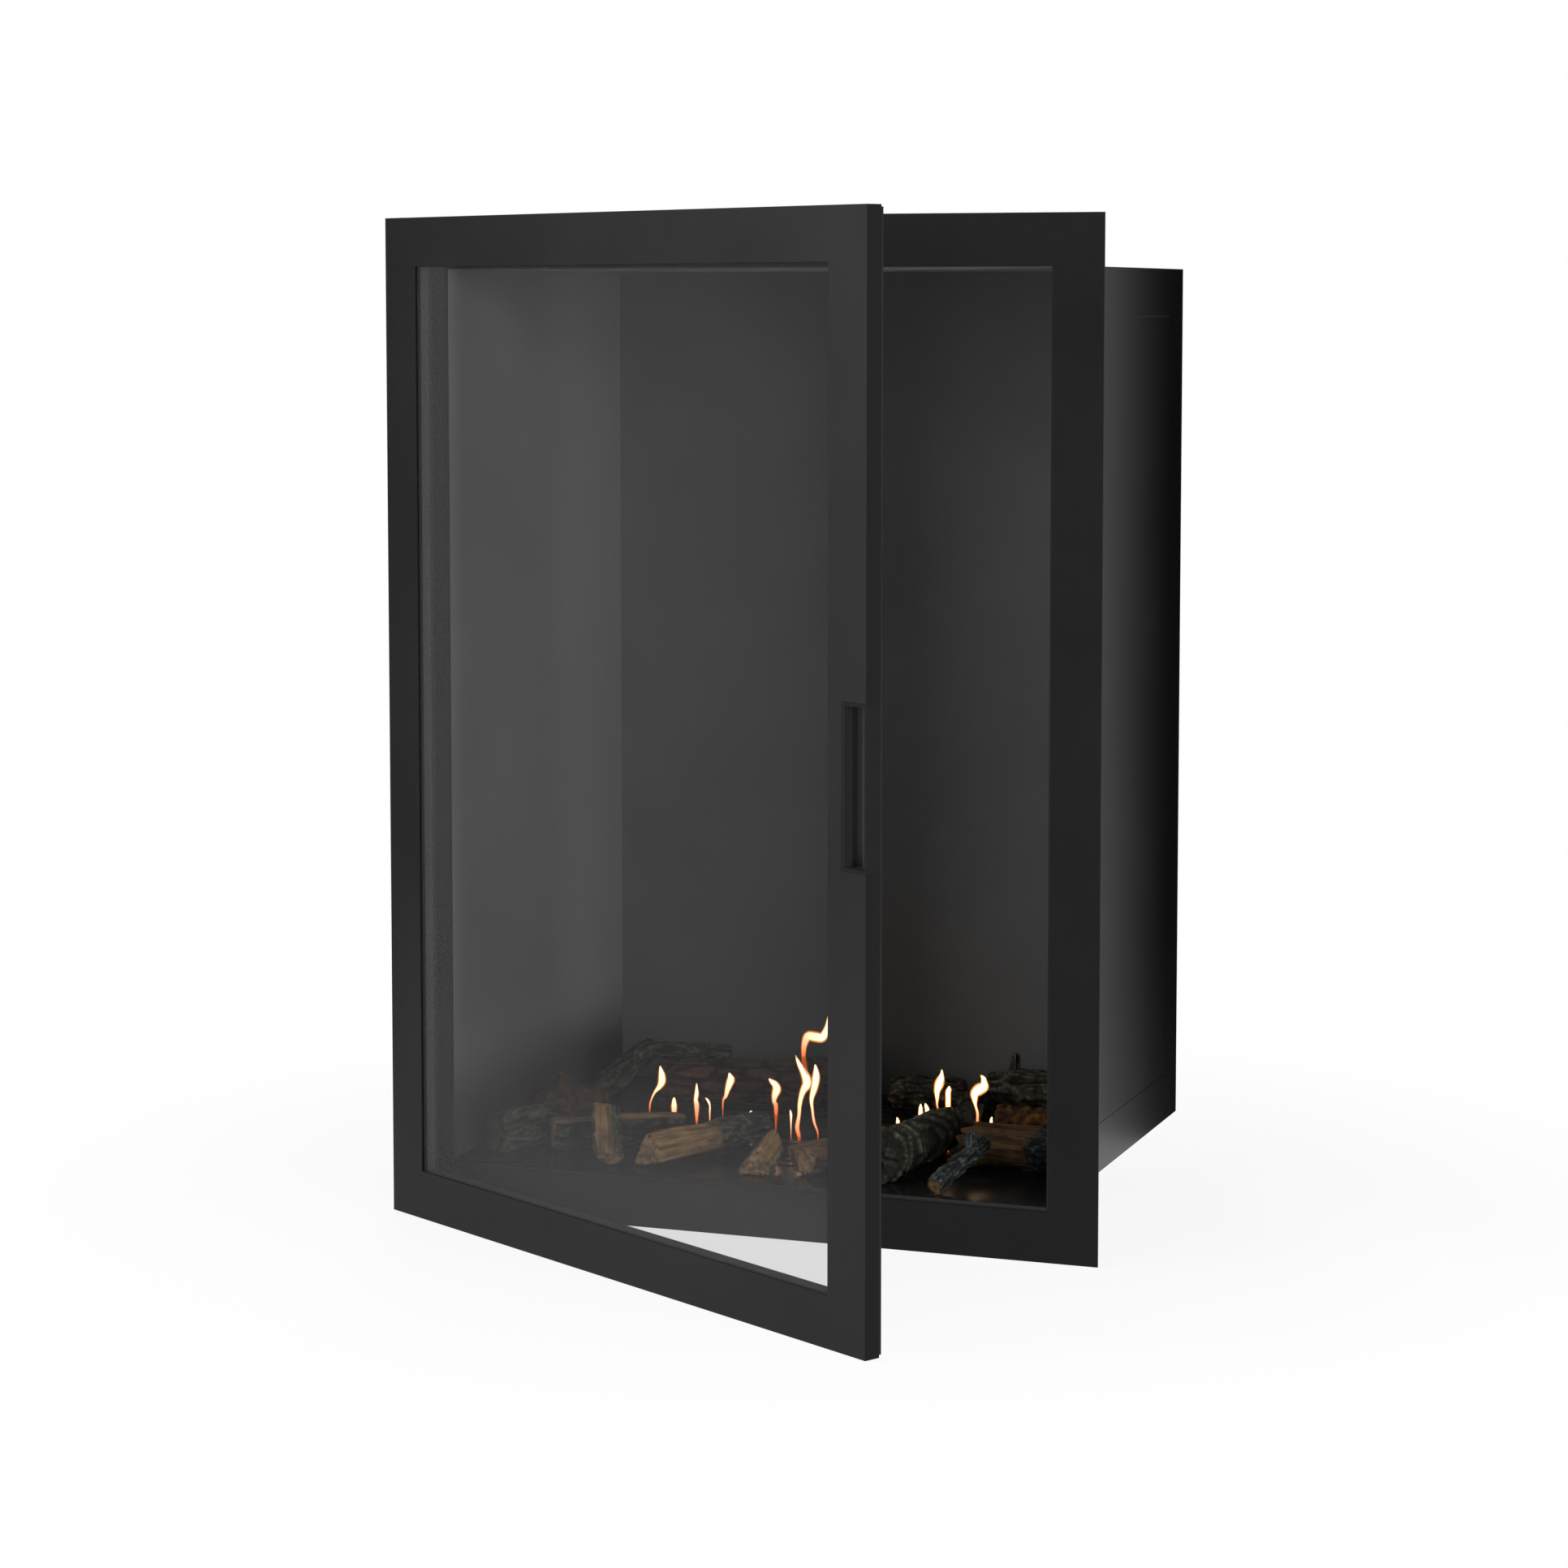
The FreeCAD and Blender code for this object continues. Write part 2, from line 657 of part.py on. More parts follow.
pane = rectangle(pane_left, pane_low, pane_right, pane_high)
tray = body("tray")
ring(tray, "tray_face", rectangle(door_left, door_low, door_right, door_high), pane, door_front, s.door_sheet)
ring(tray, "tray_rim", rectangle(door_left, door_low, door_right, door_high),
     rectangle(door_left + s.door_sheet, door_low + s.door_sheet,
               door_right - s.door_sheet, door_high - s.door_sheet),
     door_front, s.door_tray)
slotted(tray, "tray_notch", sheet_rear, tray_rear, 0, notches)
grip_seat = sketch_on(tray, "XZ_Plane", "grip_seat", [
    rectangle(grip_left - s.grip_fit, grip_low - s.grip_fit, door_right + 1, grip_high + s.grip_fit)],
    lift=-door_front)
pocket(tray, grip_seat, s.door_tray)
keep(hang(tray), "door_frame")

screw_step_z = (pane_high - pane_low) / 4
screw_step_x = (pane_right - pane_left) / 3
screw_off = retainer_width / 2
door_spots = []
for step in range(5):
    for u in (pane_left - screw_off, pane_right + screw_off):
        door_spots.append((u, pane_low + screw_step_z * step))
for step in range(1, 3):
    for v in (pane_low - screw_off, pane_high + screw_off):
        door_spots.append((pane_left + screw_step_x * step, v))

back_ring = body("back_ring")
ring(back_ring, "back_ring_face",
     rectangle(door_left + s.back_inset, door_low + s.back_inset,
               door_right - s.back_inset, door_high - s.back_inset),
     pane, tray_rear, s.door_back)
slotted(back_ring, "back_ring_notch", tray_rear, door_rear, block_right + s.grip_fit, corners)
back_ring_holes = sketch_on(back_ring, "XZ_Plane", "back_ring_holes", [],
                            [(u, v, s.screw_hole) for u, v in door_spots], lift=-tray_rear)
pocket(back_ring, back_ring_holes, s.door_back)
keep(hang(back_ring), "door_back_frame")

glass_front = sheet_rear + s.gasket_thick
glass_rear = glass_front + s.glass_thick
glass_edge = rectangle(pane_left - glass_lap, pane_low - glass_lap,
                       pane_right + glass_lap, pane_high + glass_lap)
gasket = body("gasket")
ring(gasket, "gasket_face", glass_edge,
     rectangle(pane_left - s.gasket_set, pane_low - s.gasket_set,
               pane_right + s.gasket_set, pane_high + s.gasket_set),
     sheet_rear, s.gasket_thick)
keep(hang(gasket), "glass_gasket")
glass = body("glass")
glass_face = sketch_on(glass, "XZ_Plane", "glass_face", [glass_edge], lift=-glass_front)
pad(glass, glass_face, s.glass_thick, reverse=True)
keep(hang(glass), "door_glass")

# Glass retainers: square tubes between the pane and the back frame
retainer_end = retainer_width
thin = s.retainer_sheet


def tube(name, role, low_u, low_v, high_u, high_v, start, long):
    owner = body(name)
    drawing = sketch_on(owner, role, name + "_profile", [
        rectangle(low_u, low_v, high_u, high_v),
        rectangle(low_u + thin, low_v + thin, high_u - thin, high_v - thin)], lift=start)
    pad(owner, drawing, long)
    return owner


upright_low = pane_low - retainer_end
upright_long = pane_high - pane_low + 2 * retainer_end
uprights = [
    tube("retainer_left", "XY_Plane", pane_left - retainer_end, glass_rear, pane_left, tray_rear,
         upright_low, upright_long),
    tube("retainer_right", "XY_Plane", pane_right, glass_rear, pane_right + retainer_end, tray_rear,
         upright_low, upright_long)]
levels = [
    tube("retainer_low", "YZ_Plane", glass_rear, pane_low - retainer_end, tray_rear, pane_low,
         pane_left, pane_right - pane_left),
    tube("retainer_high", "YZ_Plane", glass_rear, pane_high, tray_rear, pane_high + retainer_end,
         pane_left, pane_right - pane_left)]
keep(hang(group("retainers_upright", uprights)), "glass_retainers_upright")
keep(hang(group("retainers_level", levels)), "glass_retainers_level")

door_screws = []
for number, (u, v) in enumerate(door_spots):
    door_screws.append(level_screw(f"door_screw_{number}", u, v, door_rear, s.door_back, 1))
keep(hang(group("door_screw_group", door_screws)), "door_screws")

# Seal rope and catch magnets on the back of the door
standoff = s.door_gap - s.seal_gap
seal_in = retainer_width + s.seal_set
seal_out = seal_in + s.seal_width
rope = body("rope")
ring(rope, "rope_face",
     rectangle(pane_left - seal_out, pane_low - seal_out, pane_right + seal_out, pane_high + seal_out),
     rectangle(pane_left - seal_in, pane_low - seal_in, pane_right + seal_in, pane_high + seal_in),
     door_rear, standoff)
keep(hang(rope), "door_seal")
magnet_right = door_right - s.magnet_edge
magnet_left = magnet_right - s.magnet_width
magnets = []
for name, way in (("low", -1), ("high", 1)):
    middle = door_middle + way * s.magnet_spread / 2
    magnets.append(box("magnet_" + name, (magnet_left, door_rear, middle - s.magnet_length / 2),
                       (magnet_right, door_rear + standoff, middle + s.magnet_length / 2)))
keep(hang(group("magnets", magnets)), "catch_magnets")

# Finger grip: a block with a hollow whose far side runs out to the face in a curve
grip = body("grip")
grip_block = sketch_on(grip, "XY_Plane", "grip_block", [
    rectangle(grip_left, door_front, door_right, tray_rear)], lift=grip_low)
pad(grip, grip_block, s.grip_height)
grip_deep = tray_rear - s.grip_floor
reach = s.grip_width - s.grip_mouth
curve = [(door_right - s.grip_lip, door_front - 1), (door_right - s.grip_lip, grip_deep),
         (door_right - s.grip_mouth + 3, grip_deep), (door_right - s.grip_mouth, grip_deep - 4)]
for share in (0.0, 0.25, 0.5, 0.75, 1.0):
    turn = math.radians(90 * share)
    curve.append((door_right - s.grip_mouth - reach * 0.95 * (1 - math.cos(turn)),
                  door_front + reach * (1 - math.sin(turn))))
curve.append((door_right - s.grip_mouth - reach * 0.95, door_front - 1))
grip_hollow = sketch_on(grip, "XY_Plane", "grip_hollow", [curve], lift=grip_high - s.grip_wall)
pocket(grip, grip_hollow, s.grip_height - 2 * s.grip_wall)
keep(hang(grip), "grip_insert")

# Concealed pivots: brackets on the frame, blocks and bushes in the door
foot_rear = frame_face - axis_y
foot_front = foot_rear - s.foot_thick
tab_front = -s.tab_half
pin_bore = s.pin_radius + s.pin_run
bush_radius = pin_bore + s.bush_wall
for name, tab_low, tab_top, foot_low, foot_top, block_low, pin_low, pin_top, head_low in (
        ("upper", upper_tab_low, upper_tab_top, upper_tab_top - s.foot_high, upper_tab_top,
         upper_block_low, upper_block_low + s.pin_end, upper_tab_top, upper_tab_top),
        ("lower", lower_tab_low, lower_tab_top, lower_tab_low, lower_tab_low + s.foot_high,
         lower_block_low, lower_tab_low, lower_block_top - s.pin_end, lower_tab_low - s.pin_head_high)):
    bracket = body("bracket_" + name)
    outline = sketch_on(bracket, "YZ_Plane", "bracket_outline_" + name, [
        [(tab_front, tab_low), (foot_front, tab_low), (foot_front, foot_low), (foot_rear, foot_low),
         (foot_rear, foot_top), (tab_front, tab_top)] if name == "upper" else
        [(tab_front, tab_low), (foot_rear, foot_low), (foot_rear, foot_top), (foot_front, foot_top),
         (foot_front, tab_top), (tab_front, tab_top)]], lift=-s.tab_half)
    pad(bracket, outline, 2 * s.tab_half)
    bore = sketch_on(bracket, "XY_Plane", "bracket_bore_" + name, [], [(0, 0, s.pin_radius)], lift=tab_top)
    pocket(bracket, bore, s.tab_thick)
    place(bracket, (axis_x, axis_y, 0))
    keep(bracket, f"hinge_bracket_{name}")

    shank = rod("pin_shank_" + name, (axis_x, axis_y, pin_low), s.pin_radius, pin_top - pin_low)
    head = rod("pin_head_" + name, (axis_x, axis_y, head_low), s.pin_head, s.pin_head_high)
    keep(fuse("pin_" + name, [shank, head]), f"hinge_pin_{name}")

    block = body("block_" + name)
    block_face = sketch_on(block, "XY_Plane", "block_face_" + name, [
        rectangle(block_left, sheet_rear, block_right, door_rear)],
        [(0, 0, bush_radius)], lift=block_low)
    pad(block, block_face, s.block_high)
    keep(hang(block), f"pivot_block_{name}")

    bush = body("bush_" + name)
    bush_face = sketch_on(bush, "XY_Plane", "bush_face_" + name, [],
                          [(0, 0, bush_radius), (0, 0, pin_bore)], lift=block_low)
    pad(bush, bush_face, s.block_high)
    keep(hang(bush), f"pivot_bush_{name}")

washer_outer = rod("washer_outer", (axis_x, axis_y, lower_tab_top), s.washer_radius, s.washer_thick)
washer_inner = rod("washer_inner", (axis_x, axis_y, lower_tab_top), pin_bore, s.washer_thick)
keep(cut("washer", washer_outer, washer_inner), "thrust_washer")

# Ceramic logs: outlines seen from the end, of radius one
ROUND = [(1.0, 0.0), (0.9, 0.44), (0.68, 0.78), (0.26, 0.95), (-0.24, 0.99), (-0.66, 0.74), (-0.95, 0.4),
         (-0.97, -0.12), (-0.8, -0.56), (-0.5, -0.88), (0.02, -1.0), (0.5, -0.83), (0.86, -0.46)]
SPLIT = [(1.12, 0.3), (0.4, 0.42), (-0.36, 0.5), (-1.08, 0.44), (-1.05, -0.1), (-0.78, -0.5), (-0.36, -0.78),
         (0.12, -0.8), (0.6, -0.66), (0.98, -0.26)]
WEDGE = [(1.0, -0.5), (0.5, 0.12), (-0.05, 0.78), (-0.5, 0.92), (-0.86, 0.5), (-0.98, 0.0), (-0.86, -0.52),
         (-0.3, -0.56), (0.4, -0.62)]

# Each log: outline, end places across and from the wall, radius, shrink to the far end, roll, rise, bow
LOGS = {
    "log_back": (ROUND, (-222, 313), (2, 398), 23.2, 1.1, 20, 0, 3),
    "log_rear_mid": (ROUND, (26, 389), (112, 404), 18.5, 0.94, 0, 0, 2),
    "log_rear_right": (ROUND, (134, 408), (286, 420), 20, 1.3, 60, 0, 2),
    "log_end_on": (ROUND, (140, 322), (136, 376), 16.5, 1.0, 10, 0, 0),
    "log_right_rough": (ROUND, (168, 327), (300, 333), 12.5, 1.0, 40, 0, 1),
    "log_right_split": (SPLIT, (182, 154), (304, 150), 29, 0.98, 12, 0, 2),
    "log_ringed": (ROUND, (130, 22), (155, 212), 22.5, 0.84, 30, 0, 2),
    "log_branch": (ROUND, (199, 12), (226, 94), 10, 0.85, 0, 19, 2),
    "log_middle": (SPLIT, (47, 46), (106, 172), 22, 0.9, 8, 0, 2),
    "log_short": (WEDGE, (3, 24), (-2, 84), 21, 0.9, 0, 10, 0),
    "log_front_mid": (WEDGE, (-112, 20), (-42, 170), 24, 0.86, -12, 0, 3),
    "log_front_left": (WEDGE, (-232, 58), (-118, 136), 24, 0.92, 175, 0, 2),
    "log_upright": (SPLIT, (-150, 14), (-178, 70), 14, 1.0, 20, 32, 1),
    "log_far_left": (WEDGE, (-284, 24), (-250, 104), 25, 0.92, 150, 0, 2),
    "log_knobbed": (ROUND, (-296, 172), (-254, 240), 18, 0.95, 15, 0, 2),
    "log_bent": (ROUND, (-283, 314), (-226, 326), 15, 0.86, 0, 39, 0),
}
# Short knobs on some logs: share along the log, height, radius, lean along the log
KNOBS = {
    "log_rear_right": (0.17, 40, 6.5, 0.1),
    "log_knobbed": (0.42, 36, 6.5, -0.15),
    "log_branch": (0.72, 24, 6.0, 0.5),
}
# Level arm at the far end of the bent log: length and radius
ARMS = {
    "log_bent": (92, 10.5),
}


def faceted(sections):
    """A closed solid of flat faces over parallel sections of one outline."""
    faces = []
    for lower, upper in zip(sections, sections[1:]):
        count = len(lower)
        for i in range(count):
            j = (i + 1) % count
            faces.append(Part.Face(Part.makePolygon([lower[i], lower[j], upper[j], upper[i], lower[i]])))
    for end in (sections[0], sections[-1]):
        faces.append(Part.Face(Part.makePolygon(end + [end[0]])))
    solid = Part.Solid(Part.Shell(faces))
    if solid.Volume < 0:
        solid.reverse()
    return solid


def on_deck(spot):
    """A log end's place, spread with the firebox floor."""
    across = spot[0] * 2 * half_firebox.value / s.log_field_wide.value
    return (across, spot[1] * firebox_depth.value / s.log_field_deep.value)


def log_solid(name):
    """A log along X from its near end, with a slight bow and uneven girth."""
    outline, near, far, radius, shrink, roll, rise, bow = LOGS[name]
    radius = radius * s.log_girth.value
    long = math.dist(on_deck(near), on_deck(far)) / math.cos(math.radians(rise))
    turn = math.radians(roll)
    spun = [(u * math.cos(turn) - v * math.sin(turn), u * math.sin(turn) + v * math.cos(turn))
            for u, v in outline]

    def length_of_wood(reach, thick, shrinking, bowing):
        sections = []
        for share, swell in ((0.0, 0.97), (0.22, 1.03), (0.5, 0.97), (0.78, 1.02), (1.0, 0.95)):
            scale = thick * swell * (1 + (shrinking - 1) * share)
            aside = bowing * math.sin(math.pi * share)
            sections.append([Vector(reach * share, u * scale + aside, v * scale) for u, v in spun])
        return faceted(sections)

    solid = length_of_wood(long, radius, shrink, bow)
    if name in ARMS:
        reach, thick = ARMS[name]
        arm = length_of_wood(reach, thick * s.log_girth.value, 0.9, 2)
        level = FreeCAD.Rotation(Vector(0, 1, 0), rise)
        arm.Placement = FreeCAD.Placement(Vector(long - radius * 0.6, 0, 0), level)
        solid = solid.fuse(arm).removeSplitter()
    if name in KNOBS:
        share, tall, thick, lean = KNOBS[name]
        foot = Vector(long * share, 0, 0)
        knob = Part.makeCone(thick * 1.25, thick * 0.8, tall, foot, Vector(lean, 0, 1))
        solid = solid.fuse(knob).removeSplitter()
    return solid


def settled(solid, near, far, rise, under):
    """Turns a log into its place and lowers it until it rests on what lies under it."""
    heading = math.degrees(math.atan2(far[1] - near[1], far[0] - near[0]))
    turn = FreeCAD.Rotation(Vector(0, 0, 1), heading).multiply(FreeCAD.Rotation(Vector(0, 1, 0), -rise))
    solid.Placement = FreeCAD.Placement(Vector(near[0], wall.value + near[1], 0), turn)
    high = deck_top.value + s.log_drop.value - solid.BoundBox.ZMin
    low = deck_top.value - solid.BoundBox.ZMin

    def lifted(height):
        moved = solid.copy()
        moved.translate(Vector(0, 0, height))
        return moved

    def clear(height):
        return all(lifted(height).distToShape(other)[0] > s.log_seat.value for other in near_by)

    reach = solid.BoundBox
    near_by = []
    for other in under:
        spread = other.BoundBox
        apart_x = max(spread.XMin - reach.XMax, reach.XMin - spread.XMax)
        apart_y = max(spread.YMin - reach.YMax, reach.YMin - spread.YMax)
        if max(apart_x, apart_y) < s.log_seat.value:
            near_by.append(other)

    if clear(low + s.log_seat.value):
        return lifted(low + s.log_seat.value)
    for step in range(18):
        middle = (low + high) / 2
        if clear(middle):
            high = middle
        else:
            low = middle
    return lifted(high)


doc.recompute()
resting = [tank_lip.Shape]
for name in LOGS:
    outline, near, far, radius, shrink, roll, rise, bow = LOGS[name]
    log = doc.addObject("Part::Feature", name + "_shape")
    log.Shape = settled(log_solid(name), on_deck(near), on_deck(far), rise, resting)
    resting.append(log.Shape)
    keep(log, name)

# Checks before writing
doc.recompute()
for thing in doc.Objects:
    if "Invalid" in thing.State or "Error" in thing.State:
        raise RuntimeError(f"{thing.Label} did not compute: {thing.State}")
for part in parts:
    if part.Shape.isNull() or not part.Shape.isValid() or not part.Shape.Solids:
        raise RuntimeError(f"{part.Label} has no valid solid")

os.makedirs("parts", exist_ok=True)
for part in parts:
    part.Shape.exportStep(f"parts/{part.Label}.step")
print(len(parts), "pieces written")
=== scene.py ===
import json
import math

import bmesh
import bpy
from mathutils import Matrix, Vector, noise


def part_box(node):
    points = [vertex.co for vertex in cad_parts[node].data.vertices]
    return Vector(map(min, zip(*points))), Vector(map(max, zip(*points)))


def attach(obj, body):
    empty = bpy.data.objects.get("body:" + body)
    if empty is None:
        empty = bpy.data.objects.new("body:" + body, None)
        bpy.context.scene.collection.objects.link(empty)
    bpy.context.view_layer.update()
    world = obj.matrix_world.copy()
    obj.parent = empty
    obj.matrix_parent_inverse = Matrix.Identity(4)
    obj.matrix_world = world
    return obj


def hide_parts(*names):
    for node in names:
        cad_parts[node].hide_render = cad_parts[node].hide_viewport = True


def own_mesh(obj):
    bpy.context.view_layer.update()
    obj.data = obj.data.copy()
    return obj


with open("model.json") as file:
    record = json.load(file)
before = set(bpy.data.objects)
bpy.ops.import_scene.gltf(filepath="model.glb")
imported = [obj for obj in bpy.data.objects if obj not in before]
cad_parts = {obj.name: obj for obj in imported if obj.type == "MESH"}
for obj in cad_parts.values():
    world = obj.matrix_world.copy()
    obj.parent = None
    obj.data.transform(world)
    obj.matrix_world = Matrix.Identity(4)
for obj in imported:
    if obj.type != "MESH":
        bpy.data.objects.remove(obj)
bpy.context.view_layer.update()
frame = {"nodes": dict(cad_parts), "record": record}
scene = bpy.context.scene
MM = 0.001
# The wall plane that the front frame rests on, as Y in mm
WALL = -250
# The open door: its directions inward and along, and its face, free edge and hinge side on these in mm
DOOR_OPEN = math.radians(30)
DOOR_INWARD = (math.sin(DOOR_OPEN), math.cos(DOOR_OPEN), 0)
DOOR_ALONG = (math.cos(DOOR_OPEN), -math.sin(DOOR_OPEN), 0)
DOOR_FACE = -425
DOOR_EDGE = 552
DOOR_HINGE = -188


def linear(code):
    """An sRGB hex colour as linear red, green, blue and alpha."""
    parts = [int(code[i:i + 2], 16) / 255 for i in (1, 3, 5)]
    return [c / 12.92 if c <= 0.04045 else ((c + 0.055) / 1.055) ** 2.4 for c in parts] + [1.0]


def feed(tree, node, links):
    """Sets a node's sockets to values, or links them to other nodes' outputs."""
    for socket, source in links.items():
        if isinstance(source, bpy.types.NodeSocket):
            tree.links.new(source, node.inputs[socket])
        else:
            node.inputs[socket].default_value = source


def add(tree, kind, output, links=None, stops=(), **settings):
    """Adds a node with its settings, its sockets' links and, for a ramp, its (place, hex colour) stops.
    Gives back the output of that name."""
    node = tree.nodes.new(kind)
    for name, value in settings.items():
        setattr(node, name, value)
    if stops:
        elements = node.color_ramp.elements
        while len(elements) < len(stops):
            elements.new(0.5)
        for element, (place, code) in zip(elements, stops):
            element.position = place
            element.color = linear(code)
    feed(tree, node, links or {})
    return node.outputs[output]


def surface(name, constants):
    """A new material, its nodes, and its shader with the sockets set that are the same all over."""
    material = bpy.data.materials.new(name)
    material.use_nodes = True
    tree = material.node_tree
    shader = tree.nodes["Principled BSDF"]
    feed(tree, shader, constants)
    return material, tree, shader


def per_mm(size):
    """Texture scale whose pattern repeats about every size millimetres."""
    return 1 / (size * MM)


# Materials

# Cloudy patches of a coat, the height of its peel, and how thick a slice counts as a sheet's end, in mm
COAT_CLOUD = 160
PEEL_HEIGHT = 0.2
CUT_END = 0.5
# How far the roughness of a coat and of bare metal goes either way
COAT_SHEEN = 0.04
METAL_SHEEN = 0.08
# Where painted light grows on the side wall, measured inward from the wall, and where the logs' painted
# shadow fades, above the deck, in mm
BACK_PAINTED_LIGHT = (240, 450)
LOG_PAINTED_SHADOW = (30, 120)


def coated_steel(name, dark, light, rough, grain, peel, specular, front_end=None, back_end=None, foot=None,
                 free_edge=None):
    """Baked coat on sheet steel: an even tone, a fine orange peel, and clouds from the film's thickness.
    Other colours may go on a sheet's front end, towards its back as painted light, on its foot as painted
    shadow, or on the door's edge as painted shade."""
    material, tree, shader = surface(name, {"Specular IOR Level": specular})
    spot = add(tree, "ShaderNodeTexCoord", "Object")
    cloud = add(tree, "ShaderNodeTexNoise", "Fac", {
        "Vector": spot, "Scale": per_mm(COAT_CLOUD), "Detail": 3.0})
    fine = add(tree, "ShaderNodeTexNoise", "Fac", {"Vector": spot, "Scale": per_mm(grain), "Detail": 2.0})
    both = add(tree, "ShaderNodeMix", "Result", {"Factor": 0.3, "A": cloud, "B": fine})
    tone = add(tree, "ShaderNodeValToRGB", "Color", {"Fac": both}, [(0.32, dark), (0.68, light)])
    patches = []
    if front_end:
        depth = add(tree, "ShaderNodeSeparateXYZ", "Y", {"Vector": spot})
        cut = add(tree, "ShaderNodeMath", "Value", {0: depth, 1: (WALL + CUT_END) * MM},
                  operation="LESS_THAN")
        patches.append((cut, front_end))
    # Painted light: the side wall grows paler towards the back
    if back_end:
        depth = add(tree, "ShaderNodeSeparateXYZ", "Y", {"Vector": spot})
        back_light = add(tree, "ShaderNodeMapRange", "Result", {
            "Value": depth, "From Min": (WALL + BACK_PAINTED_LIGHT[0]) * MM, "From Max": (WALL + BACK_PAINTED_LIGHT[1]) * MM})
        patches.append((back_light, back_end))
    # Painted shade: the door's free edge is made darker where it turns from the light
    if free_edge:
        along = add(tree, "ShaderNodeVectorMath", "Value", {0: spot, 1: DOOR_ALONG}, operation="DOT_PRODUCT")
        edge_shade = add(tree, "ShaderNodeMath", "Value", {0: along, 1: (DOOR_EDGE - CUT_END) * MM},
                      operation="GREATER_THAN")
        patches.append((edge_shade, free_edge))
    # Painted shadow of the logs: darker just above the deck
    if foot:
        deck_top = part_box("hearth_deck")[1].z
        height = add(tree, "ShaderNodeSeparateXYZ", "Z", {"Vector": spot})
        log_shadow = add(tree, "ShaderNodeMapRange", "Result", {
            "Value": height, "From Min": deck_top + LOG_PAINTED_SHADOW[0] * MM, "From Max": deck_top + LOG_PAINTED_SHADOW[1] * MM,
            "To Min": 1.0, "To Max": 0.0}, interpolation_type="SMOOTHSTEP")
        patches.append((log_shadow, foot))
    for share, code in patches:
        tone = add(tree, "ShaderNodeMix", "Result", {"Factor": share, "A": tone, "B": linear(code)},
                   data_type="RGBA")
    sheen = add(tree, "ShaderNodeMapRange", "Result", {
        "Value": cloud, "To Min": rough - COAT_SHEEN, "To Max": rough + COAT_SHEEN})
    bump = add(tree, "ShaderNodeBump", "Normal", {
        "Height": fine, "Strength": peel, "Distance": PEEL_HEIGHT * MM})
    feed(tree, shader, {"Base Color": tone, "Roughness": sheen, "Normal": bump})
    return material


# Polyester powder coat, sprayed and baked: its 0.8 mm peel is drawn at 1.6 mm so that it shows
powder_coat = coated_steel("powder_coat_black_baked", "#202020", "#262626", rough=0.42, grain=1.6,
                           peel=0.1, specular=0.07)
# The same coat on the door, darker along its free edge: painted shade on the side that turns from the light
door_coat = coated_steel("powder_coat_black_edge_painted_shade", "#202020", "#262626", rough=0.42, grain=1.6,
                         peel=0.1, specular=0.07, free_edge="#161616")
# The same coat made darker on the front frame: painted shade, a shaded copy of the coat
shaded_frame_coat = coated_steel("powder_coat_black_painted_shade", "#171717", "#1c1c1c", rough=0.42, grain=1.6,
                          peel=0.1, specular=0.07)
# The same coat on the casing sheets, flowed out smoother: a soft half gloss over black
casing_coat = coated_steel("powder_coat_half_gloss_baked", "#0d0d0d", "#111111", rough=0.34, grain=1.6,
                           peel=0.1, specular=0.3)
# Silicone heat paint, sprayed dry on the firebox sheets: flatter and lighter, with dark front ends
heat_paint = coated_steel("heat_paint_black_sprayed", "#5b5b5b", "#656565", rough=0.62, grain=1.2,
                          peel=0.06, specular=0.12, front_end="#222222")
# The same paint made paler on the ceiling: painted light, a lit copy of the paint
lit_ceiling_paint = coated_steel("heat_paint_ceiling_painted_light", "#7c7c7c", "#8a8a8a", rough=0.66, grain=1.2,
                          peel=0.06, specular=0.12, front_end="#3a3a3a")
# The same paint on a side wall, made paler as painted light, paler still towards the back, and darker beside
# the logs as their painted shadow
side_paint = coated_steel("heat_paint_side_wall_painted_light", "#626262", "#6a6a6a", rough=0.64, grain=1.2,
                          peel=0.06, specular=0.12, front_end="#222222", back_end="#787878", foot="#2c2c2c")
# The same paint put on wet on the hearth deck, where it flows out to a half gloss
deck_paint = coated_steel("heat_paint_black_half_gloss", "#121212", "#181818", rough=0.2, grain=3.0,
                          peel=0.03, specular=0.3)
# Primer dipped on the turned and sawn hinge steel: dull, with a coarse skin
primer = coated_steel("steel_primer_black_dipped", "#232323", "#2c2c2c", rough=0.55, grain=2.4,
                      peel=0.3, specular=0.3)

# Wiped patches of the glass, and where its painted light fades out, from the hinge side and from the foot, in
# mm
WIPED = 220
HINGE_PAINTED_LIGHT = (95, 125)
FOOT_PAINTED_LIGHT = (80, 190)


